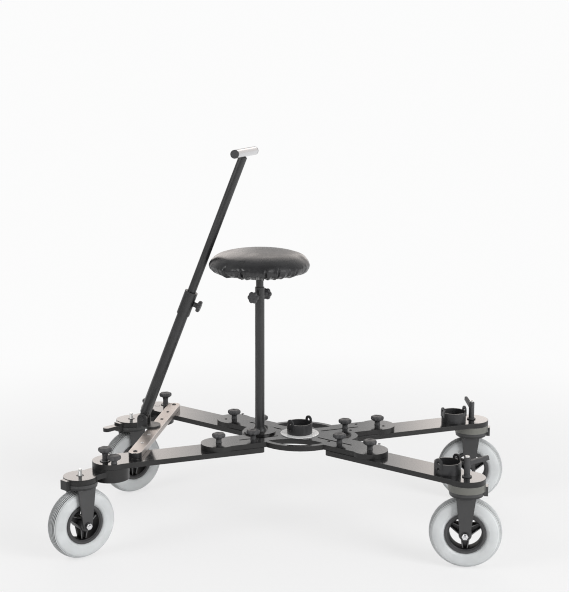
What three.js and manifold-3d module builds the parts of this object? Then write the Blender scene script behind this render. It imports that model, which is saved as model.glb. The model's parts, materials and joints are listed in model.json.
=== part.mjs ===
// Camera dolly: a hub plate with four arms, four swivelling wheels, a seat and a push handle.
// Millimetres. X points to the front, Y to the far side and Z up from the floor under the hub.
import * as THREE from "three";
import { mergeVertices } from "three/addons/utils/BufferGeometryUtils.js";
import Module from "manifold-3d";

const wasm = await Module();
wasm.setup();

// Plan of the frame
const armReach = 573;
const armAngle = THREE.MathUtils.degToRad(29.8);
const armWidth = 97;
const armThickness = 15;
const armInnerReachShare = 0.22;
const armEndRadiusShare = 0.537;
const armCornerShare = 0.13;
const outerKnobReachShare = 0.44;
const innerKnobReachShare = 0.257;
const innerKnobOffset = 3;

// Wheels
const wheelDiameter = 200;
const tyreWidth = 50;
const rimFlangeShare = 0.57;
const rimSeatShare = 0.505;
const rimBoreShare = 0.45;
const spokeCount = 3;
const spokeRootWidth = 26;
const spokeTipWidth = 16;
const spokeRib = 3.5;
const spokeWeb = 7;
const spokeDepthShare = 0.62;
const wheelHubDiameter = 36;
const axleDiameter = 12;
const nutWidth = 16;
const nutHeight = 9;
const axleWasherDiameter = 22;
const axleWasherThickness = 2;

// Forks and what stacks up over the wheels
const forkPlate = 6;
const forkHalfSpan = 38;
const forkTopWidth = 55;
const forkTipRadius = 14;
const tyreClearance = 6;
const turntableDiameter = 96;
const turntableThickness = 8;
const swivelDiscThickness = 20;
const kingpinDiameter = 20;
const studDiameter = 9;
const studHeight = 14;
const tabWidth = 12;
const tabLength = 26;
const tabHeightShare = 1.35;
const tabReachShare = 0.89;
const tabDrop = 6;

// Rear swing links
const linkLength = 110;
const linkAngle = THREE.MathUtils.degToRad(235);
const rearWheelTurn = THREE.MathUtils.degToRad(-9);
const pivotPinDiameter = 16;
const pivotPlateDiameter = 103;
const pivotPlateThickness = 17.6;
const linkEndShare = 0.9;
const linkWebShare = 0.6;
const linkEndThickness = 15.4;
const tongueLength = 47;
const tongueWidth = 24;
const tongueThickness = 12;
const tongueDrop = 12;
const endKnobShares = {
  near: [[-0.1237, -0.1443], [0.1959, -0.3505]],
  far: [[0.2371, 0.1753], [-0.2784, -0.0928]],
};

// Hub plate
const hubThickness = 15;
const hubRadius = 131;
const strapWidth = 14;
const handHoleCurveShare = 0.97;
const handHoleNearShare = 0.435;
const tongueHalfWidthShare = 0.475;
const padReach = 119;
const padRadius = 53;
const slitWidth = 3.5;
const slitStartShare = 0.118;
const slitEndShare = 0.33;
const centreDiscDiameter = 113;
const centreDiscThickness = 2;

// Cups for the feet of a tripod
const cupDiameter = 75;
const cupHeight = 31;
const cupWall = 4;
const cupEarWidth = 26;
const cupEarRise = 15;
const cupEarHoleShare = 0.22;
const cupSideHole = 9;
const cupSideHoleShare = 0.5;
const cupReachShare = 0.892;
const cupEarTurn = THREE.MathUtils.degToRad(49);
const cupEarTurnFar = THREE.MathUtils.degToRad(25);

// Star knobs
const knobHeadDiameter = 39;
const knobHeadHeight = 13;
const knobLobes = 6;
const knobLobeDepthShare = 0.13;
const knobNeckDiameter = 18;
const knobNeckHeight = 14.5;
const shortNeckShare = 0.782;
const tallNeckShare = 1.825;
const knobStudDiameter = 10;
const knobWasherDiameter = 30;
const knobWasherThickness = 2;
const sideKnobHeadShare = 0.9;
const sideNeckShare = 0.724;
const sideStudDiameter = 8;

// Clamping levers of the front wheels
const leverPostDiameter = 17;
const leverPostHeight = 54;
const leverWasherDiameter = 27;
const leverWasherThickness = 3;
const leverBarLength = 62;
const leverBarThick = 12;
const leverBarTipShare = 0.72;
const leverBarHeightShare = 0.7;
const leverRise = THREE.MathUtils.degToRad(12);
const leverTurnNear = THREE.MathUtils.degToRad(20);
const leverTurnFar = THREE.MathUtils.degToRad(109);

// Cross bar and push handle
const barSetBack = 62.23;
const barWidth = 38;
const barHeight = 16.5;
const barOverhang = 20;
const barHoleDiameter = 9;
const bracketDiameter = 62;
const bracketThickness = 6;
const bracketShift = 17;
const hingeShift = 36;
const hingeRise = 28.5;
const cheekThickness = 6;
const cheekWidth = 30;
const hingePinDiameter = 10;
const handleSeatGap = 3.4;
const handleLength = 854;
const lowerTubeDiameter = 33;
const lowerTubeBore = 26.4;
const upperTubeDiameter = 25;
const upperTubeBoreShare = 0.84;
const sleeveStart = 341;
const sleeveLength = 73;
const sleeveDiameter = 39;
const lowerTubeStart = 22;
const upperTubeDepth = 150;
const gripLength = 204;
const gripDiameter = 25;
const gripWall = 2.5;
const gripCapThickness = 5;
const gripTurn = THREE.MathUtils.degToRad(-6.8);
const handleKnobShare = 0.55;

// Seat
const seatDiameter = 296;
const seatBottom = 752;
const seatTop = 824;
const shoulderReachShare = 0.985;
const shoulderHeightShare = 0.52;
const seatPanDiameterShare = 0.86;
const seatPanThickness = 8;
const seatHubDiameter = 46;
const seatHubHeight = 6;
const postDiameter = 28;
const postBore = 23;
const postTop = 708;
const innerPostDiameter = 22;
const innerPostDepth = 230;
const postFlangeDiameter = 98;
const postFlangeThickness = 5;
const postConeDiameter = 44;
const postConeHeight = 12;
const seatKnobDrop = 26;
const seatKnobTurn = THREE.MathUtils.degToRad(67);
const pleatCount = 30;
const pleatDepthShare = 0.016;
const seatKnobBossDiameter = 16;
const seatKnobBossLength = 5;

// Fits
const restGap = 0.3;
const runGap = 0.6;
const boltGap = 0.5;

// Heights that follow from the stack
const wheelRadius = wheelDiameter / 2;
const forkCrownBottom = wheelDiameter + tyreClearance;
const forkCrownTop = forkCrownBottom + forkPlate;
const turntableTop = forkCrownTop + turntableThickness;
const swivelBottom = turntableTop + runGap;
const swivelTop = swivelBottom + swivelDiscThickness;
const armBottom = swivelTop + runGap;
const armTop = armBottom + armThickness;
const hubBottom = armTop + restGap;
const hubTop = hubBottom + hubThickness;
const barBottom = armTop + restGap;
const barTop = barBottom + barHeight;
const armEndRadius = armWidth * armEndRadiusShare;
const knobSeat = hubTop + restGap;
const seatKnobHeight = postTop - seatKnobDrop;
const barReach = armReach * Math.cos(armAngle) - barSetBack;
const hingeX = -barReach - hingeShift;
const hingeZ = barTop + restGap + hingeRise;

// The handle leans until its tube is a small gap short of the cushion's shoulder
const shoulderX = -padReach - (seatDiameter / 2) * shoulderReachShare;
const shoulderZ = seatBottom + (seatTop - seatBottom) * shoulderHeightShare;
const handleLean =
  Math.atan2(shoulderX - hingeX, shoulderZ - hingeZ) -
  Math.asin(
    (upperTubeDiameter / 2 + handleSeatGap) / Math.hypot(shoulderX - hingeX, shoulderZ - hingeZ),
  );

// Materials
const material = (colour, roughness, metalness) =>
  new THREE.MeshStandardMaterial({ color: colour, roughness, metalness });
const plateBlack = material(0x2a2a2c, 0.42, 0.5);
const forkGrey = material(0x3c3c3e, 0.5, 0.4);
const discGrey = material(0x77776f, 0.45, 0.5);
const steel = material(0xc4c5c8, 0.25, 1);
const aluminium = material(0xb9b4ae, 0.38, 0.9);
const whiteDisc = material(0xf0f0ee, 0.35, 0.1);
const tubeBlack = material(0x222224, 0.35, 0.3);
const plasticBlack = material(0x2c2c30, 0.5, 0);
const rimBlack = material(0x242426, 0.5, 0);
const tyreGrey = material(0xc9ccd0, 0.75, 0);
const leatherBlack = material(0x1d1d1f, 0.45, 0);

// Solids
const roundSides = 28;
const fineSides = 40;
const smallSides = 16;
const tinySides = 12;

const solid = (geometry) => {
  const plain = geometry.index ? geometry.toNonIndexed() : geometry;
  plain.deleteAttribute("normal");
  plain.deleteAttribute("uv");
  const merged = mergeVertices(plain, 1e-4);
  return new wasm.Manifold(
    new wasm.Mesh({
      numProp: 3,
      vertProperties: merged.attributes.position.array,
      triVerts: new Uint32Array(merged.index.array),
    }),
  );
};

const moved = (body, x, y, z) => body.translate([x, y, z]);
const turned = (body, angle) => body.rotate([0, 0, THREE.MathUtils.radToDeg(angle)]);
const joined = (first, ...rest) => rest.reduce((sum, body) => sum.add(body), first);
const cut = (first, ...rest) => rest.reduce((sum, body) => sum.subtract(body), first);

const prism = (shape, bottom, height, curveSegments = smallSides) =>
  moved(
    solid(new THREE.ExtrudeGeometry(shape, { depth: height, bevelEnabled: false, curveSegments })),
    0, 0, bottom,
  );

const outline = (points) => new THREE.Shape(points.map(([x, y]) => new THREE.Vector2(x, y)));

const disc = (radius, bottom, height, sides = roundSides) => {
  const points = Array.from({ length: sides }, (_, i) => {
    const angle = (i / sides) * Math.PI * 2;
    return [radius * Math.cos(angle), radius * Math.sin(angle)];
  });
  return prism(outline(points), bottom, height);
};

const discAt = (x, y, radius, bottom, height, sides = roundSides) =>
  moved(disc(radius, bottom, height, sides), x, y, 0);

const ring = (outer, inner, bottom, height, sides = roundSides) =>
  cut(disc(outer, bottom, height, sides), disc(inner, bottom - height, height * 3, sides));

const block = (x0, x1, y0, y1, bottom, height) =>
  prism(outline([[x0, y0], [x1, y0], [x1, y1], [x0, y1]]), bottom, height);

// A turned piece from [radius, height] pairs, standing on Z.
const turnedBody = (pairs, sides = roundSides) => {
  const points = pairs.map(([r, z]) => new THREE.Vector2(r, z));
  const body = solid(new THREE.LatheGeometry(points, sides));
  return body.rotate([90, 0, 0]);
};

// Lays a standing piece along +Y or along +X.
const alongY = (body) => body.rotate([-90, 0, 0]);
const alongX = (body) => body.rotate([0, 90, 0]);

const group = new THREE.Group();
group.name = "camera_dolly";

const addNode = (name, body, finish) => {
  const raw = body.getMesh();
  const geometry = new THREE.BufferGeometry();
  const positions = new Float32Array(raw.numVert * 3);
  for (let i = 0; i < raw.numVert; i++) {
    positions.set(raw.vertProperties.subarray(i * raw.numProp, i * raw.numProp + 3), i * 3);
  }
  geometry.setAttribute("position", new THREE.BufferAttribute(positions, 3));
  geometry.setIndex(new THREE.BufferAttribute(new Uint32Array(raw.triVerts), 1));
  const flat = geometry.toNonIndexed();
  flat.computeVertexNormals();
  const mesh = new THREE.Mesh(flat, finish);
  mesh.name = name;
  group.add(mesh);
};

// The four corners, each with the direction of its arm
const corners = [
  { name: "front_near", angle: -armAngle, front: true, side: "near" },
  { name: "front_far", angle: armAngle, front: true, side: "far" },
  { name: "rear_near", angle: Math.PI + armAngle, front: false, side: "near" },
  { name: "rear_far", angle: Math.PI - armAngle, front: false, side: "far" },
];
const along = (angle, reach, offset = 0) => [
  Math.cos(angle) * reach - Math.sin(angle) * offset,
  Math.sin(angle) * reach + Math.cos(angle) * offset,
];
const outwardSign = (corner) => Math.sign(Math.sin(corner.angle)) * Math.sign(Math.cos(corner.angle));
const outerKnob = (corner) => along(corner.angle, armReach * outerKnobReachShare);
const innerKnob = (corner) =>
  along(corner.angle, armReach * innerKnobReachShare, innerKnobOffset * outwardSign(corner));
const armEnd = (corner) => along(corner.angle, armReach);

// Arm: a flat bar with a round end, its inner end held under the hub plate
const makeArm = (corner) => {
  const start = armReach * armInnerReachShare;
  const half = armWidth / 2;
  const corner0 = armWidth * armCornerShare;
  const bar = new THREE.Shape();
  bar.moveTo(start + corner0, -half);
  bar.lineTo(armReach, -half);
  bar.lineTo(armReach, half);
  bar.lineTo(start + corner0, half);
  bar.quadraticCurveTo(start, half, start, half - corner0);
  bar.lineTo(start, corner0 - half);
  bar.quadraticCurveTo(start, -half, start + corner0, -half);
  let arm = prism(bar, armBottom, armThickness, tinySides / 2);
  arm = arm.add(discAt(armReach, 0, armEndRadius, armBottom, armThickness));
  const pivotHole = knobStudDiameter / 2 + boltGap;
  const bottom = armBottom - armThickness;
  const depth = armThickness * 3;
  arm = arm.subtract(
    discAt(armReach * outerKnobReachShare, 0, pivotHole, bottom, depth, smallSides),
  );
  const pinHole = (corner.front ? kingpinDiameter : pivotPinDiameter) / 2 + boltGap;
  arm = arm.subtract(discAt(armReach, 0, pinHole, bottom, depth, smallSides));
  arm = turned(arm, corner.angle);
  if (!corner.front) {
    const [x, y] = armEnd(corner);
    for (const [dx, dy] of endKnobShares[corner.side]) {
      const [kx, ky] = [x + dx * armWidth, y + dy * armWidth];
      arm = arm.subtract(discAt(kx, ky, pivotHole, bottom, depth, smallSides));
    }
    const boltY = Math.tan(armAngle) * barReach * Math.sign(y);
    arm = arm.subtract(discAt(-barReach, boltY, barHoleDiameter / 2, bottom, depth, tinySides));
  }
  addNode("arm_" + corner.name, arm, plateBlack);
};

// Star knob that stands on Z = 0: neck, scalloped head and a stud that reaches down
const makeKnob = (neck, studLength, headScale = 1, stud = knobStudDiameter, washer = false) => {
  const steps = knobLobes * 4;
  const radius = (knobHeadDiameter / 2) * headScale;
  const star = Array.from({ length: steps }, (_, i) => {
    const angle = (i / steps) * Math.PI * 2;
    const dip = (1 - Math.cos(angle * knobLobes)) / 2;
    const r = radius * (1 - knobLobeDepthShare * 2 * (1 - dip) ** 2);
    return [r * Math.cos(angle), r * Math.sin(angle)];
  });
  const head = prism(outline(star), neck, knobHeadHeight * headScale);
  const neckRadius = (knobNeckDiameter / 2) * headScale;
  const overlap = neck / 2;
  const neckBody = disc(neckRadius, 0, neck + knobHeadHeight / 2, tinySides);
  const shank = disc(stud / 2, -studLength, studLength + overlap, tinySides);
  const body = joined(head, neckBody, shank);
  if (!washer) {
    return body;
  }
  return body.add(disc(knobWasherDiameter / 2, 0, knobWasherThickness, smallSides));
};

// Wheel pieces, made with the axle along Y at the origin
const tyreShares = [
  [0.505, 0.37], [0.577, 0.375], [0.64, 0.49], [0.78, 0.5], [0.91, 0.41], [0.985, 0.2],
];
const cavityShares = [[0.89, 0.2], [0.8, 0.32], [0.505, 0.24]];
const makeTyre = () => {
  const side = tyreShares.map(([r, w]) => [r * wheelRadius, w * tyreWidth]);
  const hollow = cavityShares.map(([r, w]) => [r * wheelRadius, w * tyreWidth]);
  const seat = (pair) => [pair[0] + restGap, pair[1]];
  side[0] = seat(side[0]);
  hollow[hollow.length - 1] = seat(hollow[hollow.length - 1]);
  const flip = ([r, w]) => [r, -w];
  const loop = [
    ...side.map(flip),
    [wheelRadius, 0],
    ...[...side].reverse(),
    ...[...hollow].reverse(),
    ...hollow.map(flip),
  ];
  loop.push(loop[0]);
  return alongY(turnedBody(loop));
};

const makeRim = () => {
  const flange = wheelRadius * rimFlangeShare - restGap;
  const seat = wheelRadius * rimSeatShare - restGap;
  const bore = wheelRadius * rimBoreShare;
  const seatHalf = tyreWidth * 0.38;
  const flangeHalf = tyreWidth * 0.45;
  const half = [[seat, seatHalf], [flange, seatHalf], [flange, flangeHalf], [bore, flangeHalf]];
  const loop = [
    ...half.map(([r, w]) => [r, -w]).reverse(),
    ...half,
    [bore - rimBoreShare * spokeRib, 0],
  ];
  loop.push(loop[0]);
  let rim = turnedBody(loop);
  const hubHalf = forkHalfSpan - forkPlate - runGap;
  rim = rim.add(disc(wheelHubDiameter / 2, -hubHalf, hubHalf * 2, smallSides));
  const reach = (bore + seat) / 2;
  const depth = tyreWidth * spokeDepthShare;
  const root = spokeRootWidth / 2;
  const tip = spokeTipWidth / 2;
  const web = prism(
    outline([[0, -root], [reach, -tip], [reach, tip], [0, root]]), -spokeWeb / 2, spokeWeb,
  );
  const ribLine = [[0, root - spokeRib], [reach, tip - spokeRib], [reach, tip], [0, root]];
  const rib = prism(outline(ribLine), -depth / 2, depth);
  const spoke = joined(web, rib, rib.mirror([0, 1, 0]));
  for (let i = 0; i < spokeCount; i++) {
    const angle = Math.PI / 2 + (i / spokeCount) * Math.PI * 2;
    rim = rim.add(turned(spoke, angle));
  }
  const hole = axleDiameter / 2 + boltGap;
  rim = rim.subtract(disc(hole, -hubHalf * 2, hubHalf * 4, smallSides));
  return alongY(rim);
};

const makeAxle = () => {
  const reach = forkHalfSpan + restGap;
  const end = reach + axleWasherThickness;
  const rod = disc(axleDiameter / 2, -end, end * 2, smallSides);
  const parts = [rod];
  for (const side of [0, 1]) {
    const washer = disc(axleWasherDiameter / 2, reach, axleWasherThickness, smallSides);
    const nut = disc(nutWidth / 2 / Math.cos(Math.PI / 6), end, nutHeight / 2, 6);
    const dome = turnedBody([
      [0, end],
      [nutWidth / 2, end],
      [nutWidth / 2, end + nutHeight / 2],
      [nutWidth * 0.3, end + nutHeight],
      [0, end + nutHeight * 1.1],
    ], tinySides);
    const set = joined(washer, nut, dome);
    parts.push(side ? set.rotate([180, 0, 0]) : set);
  }
  return alongY(joined(...parts));
};

// Fork: a folded plate with tapered legs under a round turntable, with the kingpin on top
const makeFork = (front) => {
  const half = forkTopWidth / 2;
  const tip = new THREE.Shape();
  tip.moveTo(-half, forkCrownTop);
  tip.lineTo(-forkTipRadius, wheelRadius);
  for (let i = 1; i < tinySides; i++) {
    const angle = Math.PI + (i / tinySides) * Math.PI;
    tip.lineTo(forkTipRadius * Math.cos(angle), wheelRadius + forkTipRadius * Math.sin(angle));
  }
  tip.lineTo(forkTipRadius, wheelRadius);
  tip.lineTo(half, forkCrownTop);
  const leg = prism(tip, -forkPlate / 2, forkPlate).rotate([90, 0, 0]);
  const hole = alongY(disc(axleDiameter / 2 + boltGap / 2, -wheelDiameter, wheelDiameter * 2, smallSides));
  const legY = forkHalfSpan - forkPlate / 2;
  const crown = block(-half, half, -forkHalfSpan, forkHalfSpan, forkCrownBottom, forkPlate);
  let fork = joined(
    moved(leg, 0, legY, 0),
    moved(leg, 0, -legY, 0),
    crown,
    disc(turntableDiameter / 2, forkCrownTop - restGap, turntableThickness + restGap),
  );
  fork = fork.subtract(moved(hole, 0, 0, wheelRadius));
  if (front) {
    const top = armTop - armThickness * 0.4;
    return fork.add(disc(kingpinDiameter / 2, forkCrownTop, top - forkCrownTop, smallSides));
  }
  const pinTop = swivelBottom + linkEndThickness;
  fork = fork.add(disc(kingpinDiameter / 2, forkCrownTop, pinTop - forkCrownTop, smallSides));
  const studTop = swivelTop + studHeight;
  return fork.add(disc(studDiameter / 2, forkCrownTop, studTop - forkCrownTop, tinySides));
};

const makeWheelUnit = (corner, x, y, turn) => {
  const place = (body) => moved(turned(body, turn), x, y, 0);
  const lift = (body) => moved(body, 0, 0, wheelRadius);
  addNode("fork_" + corner.name, place(makeFork(corner.front)), forkGrey);
  addNode("axle_" + corner.name, place(lift(makeAxle())), steel);
  addNode("rim_" + corner.name, place(lift(makeRim())), rimBlack);
  addNode("tyre_" + corner.name, place(lift(makeTyre())), tyreGrey);
};

// Tab block at the outer side of a swivel disc, and the disc itself
const makeTab = (angle) => {
  const reach = armEndRadius * tabReachShare;
  const height = swivelDiscThickness * tabHeightShare;
  const top = swivelTop - tabDrop;
  const tab = block(
    armEndRadius - tabWidth, reach + tabWidth, -tabLength / 2, tabLength / 2, top - height, height,
  );
  const clear = disc(turntableDiameter / 2 + runGap, swivelBottom - height, height);
  return turned(tab.subtract(clear), angle);
};

const makeSwivelDisc = (corner, x, y) => {
  const bore = kingpinDiameter / 2 + runGap;
  let body = disc(armEndRadius, swivelBottom, swivelDiscThickness);
  body = body.add(makeTab(0));
  body = body.subtract(disc(bore, swivelBottom - swivelDiscThickness, swivelDiscThickness * 3));
  addNode("swivel_disc_" + corner.name, moved(body, x, y, 0), discGrey);
};

// Swing link: a thick end under the arm with its pivot pin, and a thinner web and wheel end
const makeLink = (corner, x, y) => {
  const bore = kingpinDiameter / 2 + runGap;
  let body = disc(armEndRadius, swivelBottom, swivelDiscThickness);
  const endRadius = armEndRadius * linkEndShare;
  const webHalf = armEndRadius * linkWebShare;
  body = body.add(discAt(linkLength, 0, endRadius, swivelBottom, linkEndThickness));
  body = body.add(block(0, linkLength, -webHalf, webHalf, swivelBottom, linkEndThickness));
  body = body.add(
    disc(pivotPlateDiameter / 2, swivelBottom - pivotPlateThickness, pivotPlateThickness),
  );
  body = body.add(
    disc(pivotPinDiameter / 2, swivelBottom, armTop - swivelBottom, smallSides),
  );
  const clearTurn = discAt(
    linkLength, 0, turntableDiameter / 2 + runGap, swivelBottom - swivelDiscThickness,
    swivelDiscThickness,
  );
  body = body.subtract(clearTurn);
  body = body.add(moved(makeTab(0), linkLength, 0, 0));
  if (corner.side === "far") {
    const start = linkLength + armEndRadius;
    const end = start + tabWidth + tongueLength;
    const half = tongueWidth / 2;
    const bottom = swivelTop - tongueDrop - tongueThickness;
    body = body.add(block(start, end - half, -half, half, bottom, tongueThickness));
    body = body.add(discAt(end - half, 0, half, bottom, tongueThickness, smallSides));
  }
  body = body.subtract(
    discAt(linkLength, 0, bore, swivelBottom - swivelDiscThickness, swivelDiscThickness * 3),
  );
  addNode("link_" + corner.name, moved(turned(body, linkAngle), x, y, 0), plateBlack);
};

// Hub plate: four lobed tongues, two round pads and two curved straps with hand holes
const makeHub = () => {
  let hub = disc(hubRadius, hubBottom, hubThickness, fineSides);
  for (const side of [-1, 1]) {
    hub = hub.add(discAt(side * padReach, 0, padRadius, hubBottom, hubThickness));
  }
  const half = armWidth * tongueHalfWidthShare;
  const reach = armReach * outerKnobReachShare;
  for (const corner of corners) {
    const tongue = block(0, reach, -half, half, hubBottom, hubThickness);
    hub = hub.add(turned(tongue, corner.angle));
    const [x, y] = outerKnob(corner);
    hub = hub.add(discAt(x, y, armEndRadius, hubBottom, hubThickness));
  }
  const under = hubBottom - hubThickness;
  const deep = hubThickness * 3;
  const holeOuter = hubRadius - strapWidth;
  const curve = hubRadius * handHoleCurveShare;
  for (const side of [-1, 1]) {
    const shift = hubRadius * handHoleNearShare + curve;
    const lens = disc(holeOuter, under, deep, fineSides).intersect(
      discAt(0, side * shift, curve, under, deep, fineSides),
    );
    hub = hub.subtract(lens);
  }
  const slitStart = armReach * slitStartShare;
  const slitEnd = armReach * slitEndShare;
  for (const corner of corners) {
    const slit = block(slitStart, slitEnd, -slitWidth / 2, slitWidth / 2, under, deep);
    hub = hub.subtract(turned(slit, corner.angle));
    const hole = knobStudDiameter / 2 + boltGap;
    for (const [x, y] of [outerKnob(corner), innerKnob(corner)]) {
      hub = hub.subtract(discAt(x, y, hole, under, deep, smallSides));
    }
  }
  addNode("hub_plate", hub, plateBlack);
};

// Cup with two ears for the strap that holds a tripod's foot
const makeCup = (name, x, y, bottom, turn) => {
  let cup = disc(cupDiameter / 2, 0, cupHeight);
  cup = cup.subtract(disc(cupDiameter / 2 - cupWall, cupWall, cupHeight));
  const earRadius = cupEarWidth / 2;
  const earHeight = cupEarRise - earRadius;
  const ear = joined(
    block(-earRadius, earRadius, -cupHeight / 2, earHeight, -cupWall / 2, cupWall),
    discAt(0, earHeight, earRadius, -cupWall / 2, cupWall, tinySides),
  ).subtract(
    discAt(0, earHeight, cupEarWidth * cupEarHoleShare, -cupWall, cupWall * 2, tinySides),
  );
  const standing = ear.rotate([90, 0, 90]);
  const reach = cupDiameter / 2 - cupWall / 2;
  for (const side of [-1, 1]) {
    cup = cup.add(moved(standing, side * reach, 0, cupHeight));
  }
  const sideHole = alongY(disc(cupSideHole / 2, 0, cupDiameter, tinySides));
  const spot = turned(sideHole, Math.PI / 2);
  cup = cup.subtract(moved(spot, 0, 0, cupHeight * cupSideHoleShare));
  cup = cup.intersect(disc(cupDiameter / 2 + cupWall, 0, cupDiameter));
  addNode(name, moved(turned(cup, turn), x, y, bottom + restGap), tubeBlack);
};

// Clamping lever: a post with a tapered arm that rises a little
const makeLever = (corner, x, y, turn) => {
  let post = disc(leverPostDiameter / 2, 0, leverPostHeight, smallSides);
  const tip = leverBarThick * leverBarTipShare;
  const shape = outline([
    [0, -leverBarThick / 2], [leverBarLength, -tip / 2], [leverBarLength, tip / 2],
    [0, leverBarThick / 2],
  ]);
  const bar = prism(shape, -leverBarThick / 2, leverBarThick);
  const risen = bar.rotate([0, THREE.MathUtils.radToDeg(-leverRise), 0]);
  post = post.add(moved(risen, 0, 0, leverPostHeight * leverBarHeightShare));
  post = post.add(disc(studDiameter / 2, -armThickness * 0.3, armThickness, tinySides));
  post = post.add(disc(leverWasherDiameter / 2, 0, leverWasherThickness, smallSides));
  const body = moved(turned(post, turn), x, y, armTop + restGap);
  addNode("lever_" + corner.name, body, plasticBlack);
};

makeHub();
addNode(
  "centre_disc",
  disc(centreDiscDiameter / 2, hubTop + restGap, centreDiscThickness, fineSides),
  whiteDisc,
);
const discTop = hubTop + restGap + centreDiscThickness;
makeCup("cup_centre", 0, 0, discTop, cupEarTurn);

for (const corner of corners) {
  makeArm(corner);
  const [x, y] = armEnd(corner);
  if (corner.front) {
    makeSwivelDisc(corner, x, y);
    const [cx, cy] = along(corner.angle, armReach * cupReachShare);
    const earTurn = corner.side === "far" ? cupEarTurnFar : cupEarTurn;
    makeCup("cup_" + corner.name, cx, cy, armTop, earTurn);
    makeLever(corner, x, y, corner.side === "near" ? leverTurnNear : leverTurnFar);
    makeWheelUnit(corner, x, y, 0);
  } else {
    makeLink(corner, x, y);
    const [dx, dy] = along(linkAngle, linkLength);
    makeWheelUnit(corner, x + dx, y + dy, linkAngle + rearWheelTurn);
    endKnobShares[corner.side].forEach(([kx, ky], i) => {
      const neck = knobNeckHeight * (i === 0 ? tallNeckShare : shortNeckShare);
      const body = makeKnob(neck, armThickness, 1, knobStudDiameter, i === 0);
      const node = "knob_end_" + corner.side + (i === 0 ? "_tall" : "_low");
      const [spotX, spotY] = [x + kx * armWidth, y + ky * armWidth];
      addNode(node, moved(body, spotX, spotY, armTop + restGap), plasticBlack);
    });
  }
  const [ox, oy] = outerKnob(corner);
  const through = hubThickness + armThickness + restGap;
  const outer = makeKnob(knobNeckHeight, through);
  addNode("knob_outer_" + corner.name, moved(outer, ox, oy, knobSeat), plasticBlack);
  const [ix, iy] = innerKnob(corner);
  const inner = makeKnob(knobNeckHeight, hubThickness);
  addNode("knob_inner_" + corner.name, moved(inner, ix, iy, knobSeat), plasticBlack);
}

// Cross bar over the rear arms, with rounded ends and a bolt hole over each arm
const barHalf = Math.tan(armAngle) * barReach + barOverhang;
const barRound = barWidth / 2;
let crossBar = block(
  -barReach - barRound, -barReach + barRound, barRound - barHalf, barHalf - barRound,
  barBottom, barHeight,
);
for (const side of [-1, 1]) {
  const roundY = side * (barHalf - barRound);
  crossBar = crossBar.add(discAt(-barReach, roundY, barRound, barBottom, barHeight, smallSides));
  const boltY = side * (barHalf - barOverhang);
  const hole = discAt(
    -barReach, boltY, barHoleDiameter / 2, barBottom - barHeight, barHeight * 3, tinySides,
  );
  crossBar = crossBar.subtract(hole);
}
addNode("cross_bar", crossBar, aluminium);

// Handle bracket: a round plate on the bar with two cheeks behind it
const footHalf = lowerTubeDiameter / 2;
const cheekY = footHalf + runGap + cheekThickness / 2;
const bracketBottom = barTop + restGap;
let bracket = discAt(
  -barReach - bracketShift, 0, bracketDiameter / 2, bracketBottom, bracketThickness,
);
for (const side of [-1, 1]) {
  const cheek = joined(
    block(-cheekWidth / 2, cheekWidth / 2, -hingeRise, 0, -cheekThickness / 2, cheekThickness),
    disc(cheekWidth / 2, -cheekThickness / 2, cheekThickness, smallSides),
  ).rotate([90, 0, 0]);
  bracket = bracket.add(moved(cheek, hingeX, side * cheekY, hingeZ));
}
const underBar = block(
  hingeX - cheekWidth, hingeX + cheekWidth, -bracketDiameter, bracketDiameter,
  bracketBottom - hingeRise, hingeRise,
);
bracket = bracket.subtract(underBar);
const pinBore = alongY(
  disc(hingePinDiameter / 2 + restGap, -bracketDiameter, bracketDiameter * 2, smallSides),
);
bracket = bracket.subtract(moved(pinBore, hingeX, 0, hingeZ));
addNode("handle_bracket", bracket, plateBlack);
const pinHalf = cheekY + cheekThickness;
addNode(
  "handle_pin",
  moved(alongY(disc(hingePinDiameter / 2, -pinHalf, pinHalf * 2, smallSides)), hingeX, 0, hingeZ),
  steel,
);

// Handle: made upright over the hinge, then leaned to the front
const lean = (body) =>
  moved(body.rotate([0, THREE.MathUtils.radToDeg(handleLean), 0]), hingeX, 0, hingeZ);
const footRadius = cheekWidth / 2 - bracketThickness / 2;
const footClear = hingeRise - bracketThickness - runGap;
const eyeRadius = Math.min(footRadius, footClear);
let lower = ring(lowerTubeDiameter / 2, lowerTubeBore / 2, lowerTubeStart, sleeveStart, smallSides);
lower = lower.add(
  ring(sleeveDiameter / 2, lowerTubeBore / 2, sleeveStart, sleeveLength, smallSides),
);
const plug = disc(lowerTubeDiameter / 2, lowerTubeStart - footHalf / 2, footHalf, smallSides);
const eye = alongY(disc(eyeRadius, -footHalf, footHalf * 2, smallSides));
const stem = block(-eyeRadius, eyeRadius, -footHalf * 0.8, footHalf * 0.8, 0, lowerTubeStart);
lower = joined(lower, plug, eye, stem);
lower = lower.subtract(
  alongY(disc(hingePinDiameter / 2 + restGap, -footHalf * 2, footHalf * 4, smallSides)),
);
const knobZ = sleeveStart + sleeveLength * handleKnobShare;
const sideStudHole = sideStudDiameter / 2 + restGap;
const sideHole = alongX(disc(sideStudHole, 0, sleeveDiameter, tinySides));
lower = lower.subtract(moved(sideHole, 0, 0, knobZ));
addNode("handle_lower_tube", lean(lower), tubeBlack);

const upperTop = handleLength - gripDiameter / 2 - restGap;
const upperStart = sleeveStart + sleeveLength - upperTubeDepth;
const upper = ring(
  upperTubeDiameter / 2, (upperTubeDiameter / 2) * upperTubeBoreShare, upperStart,
  upperTop - upperStart, smallSides,
);
addNode("handle_upper_tube", lean(upper), tubeBlack);

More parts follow.
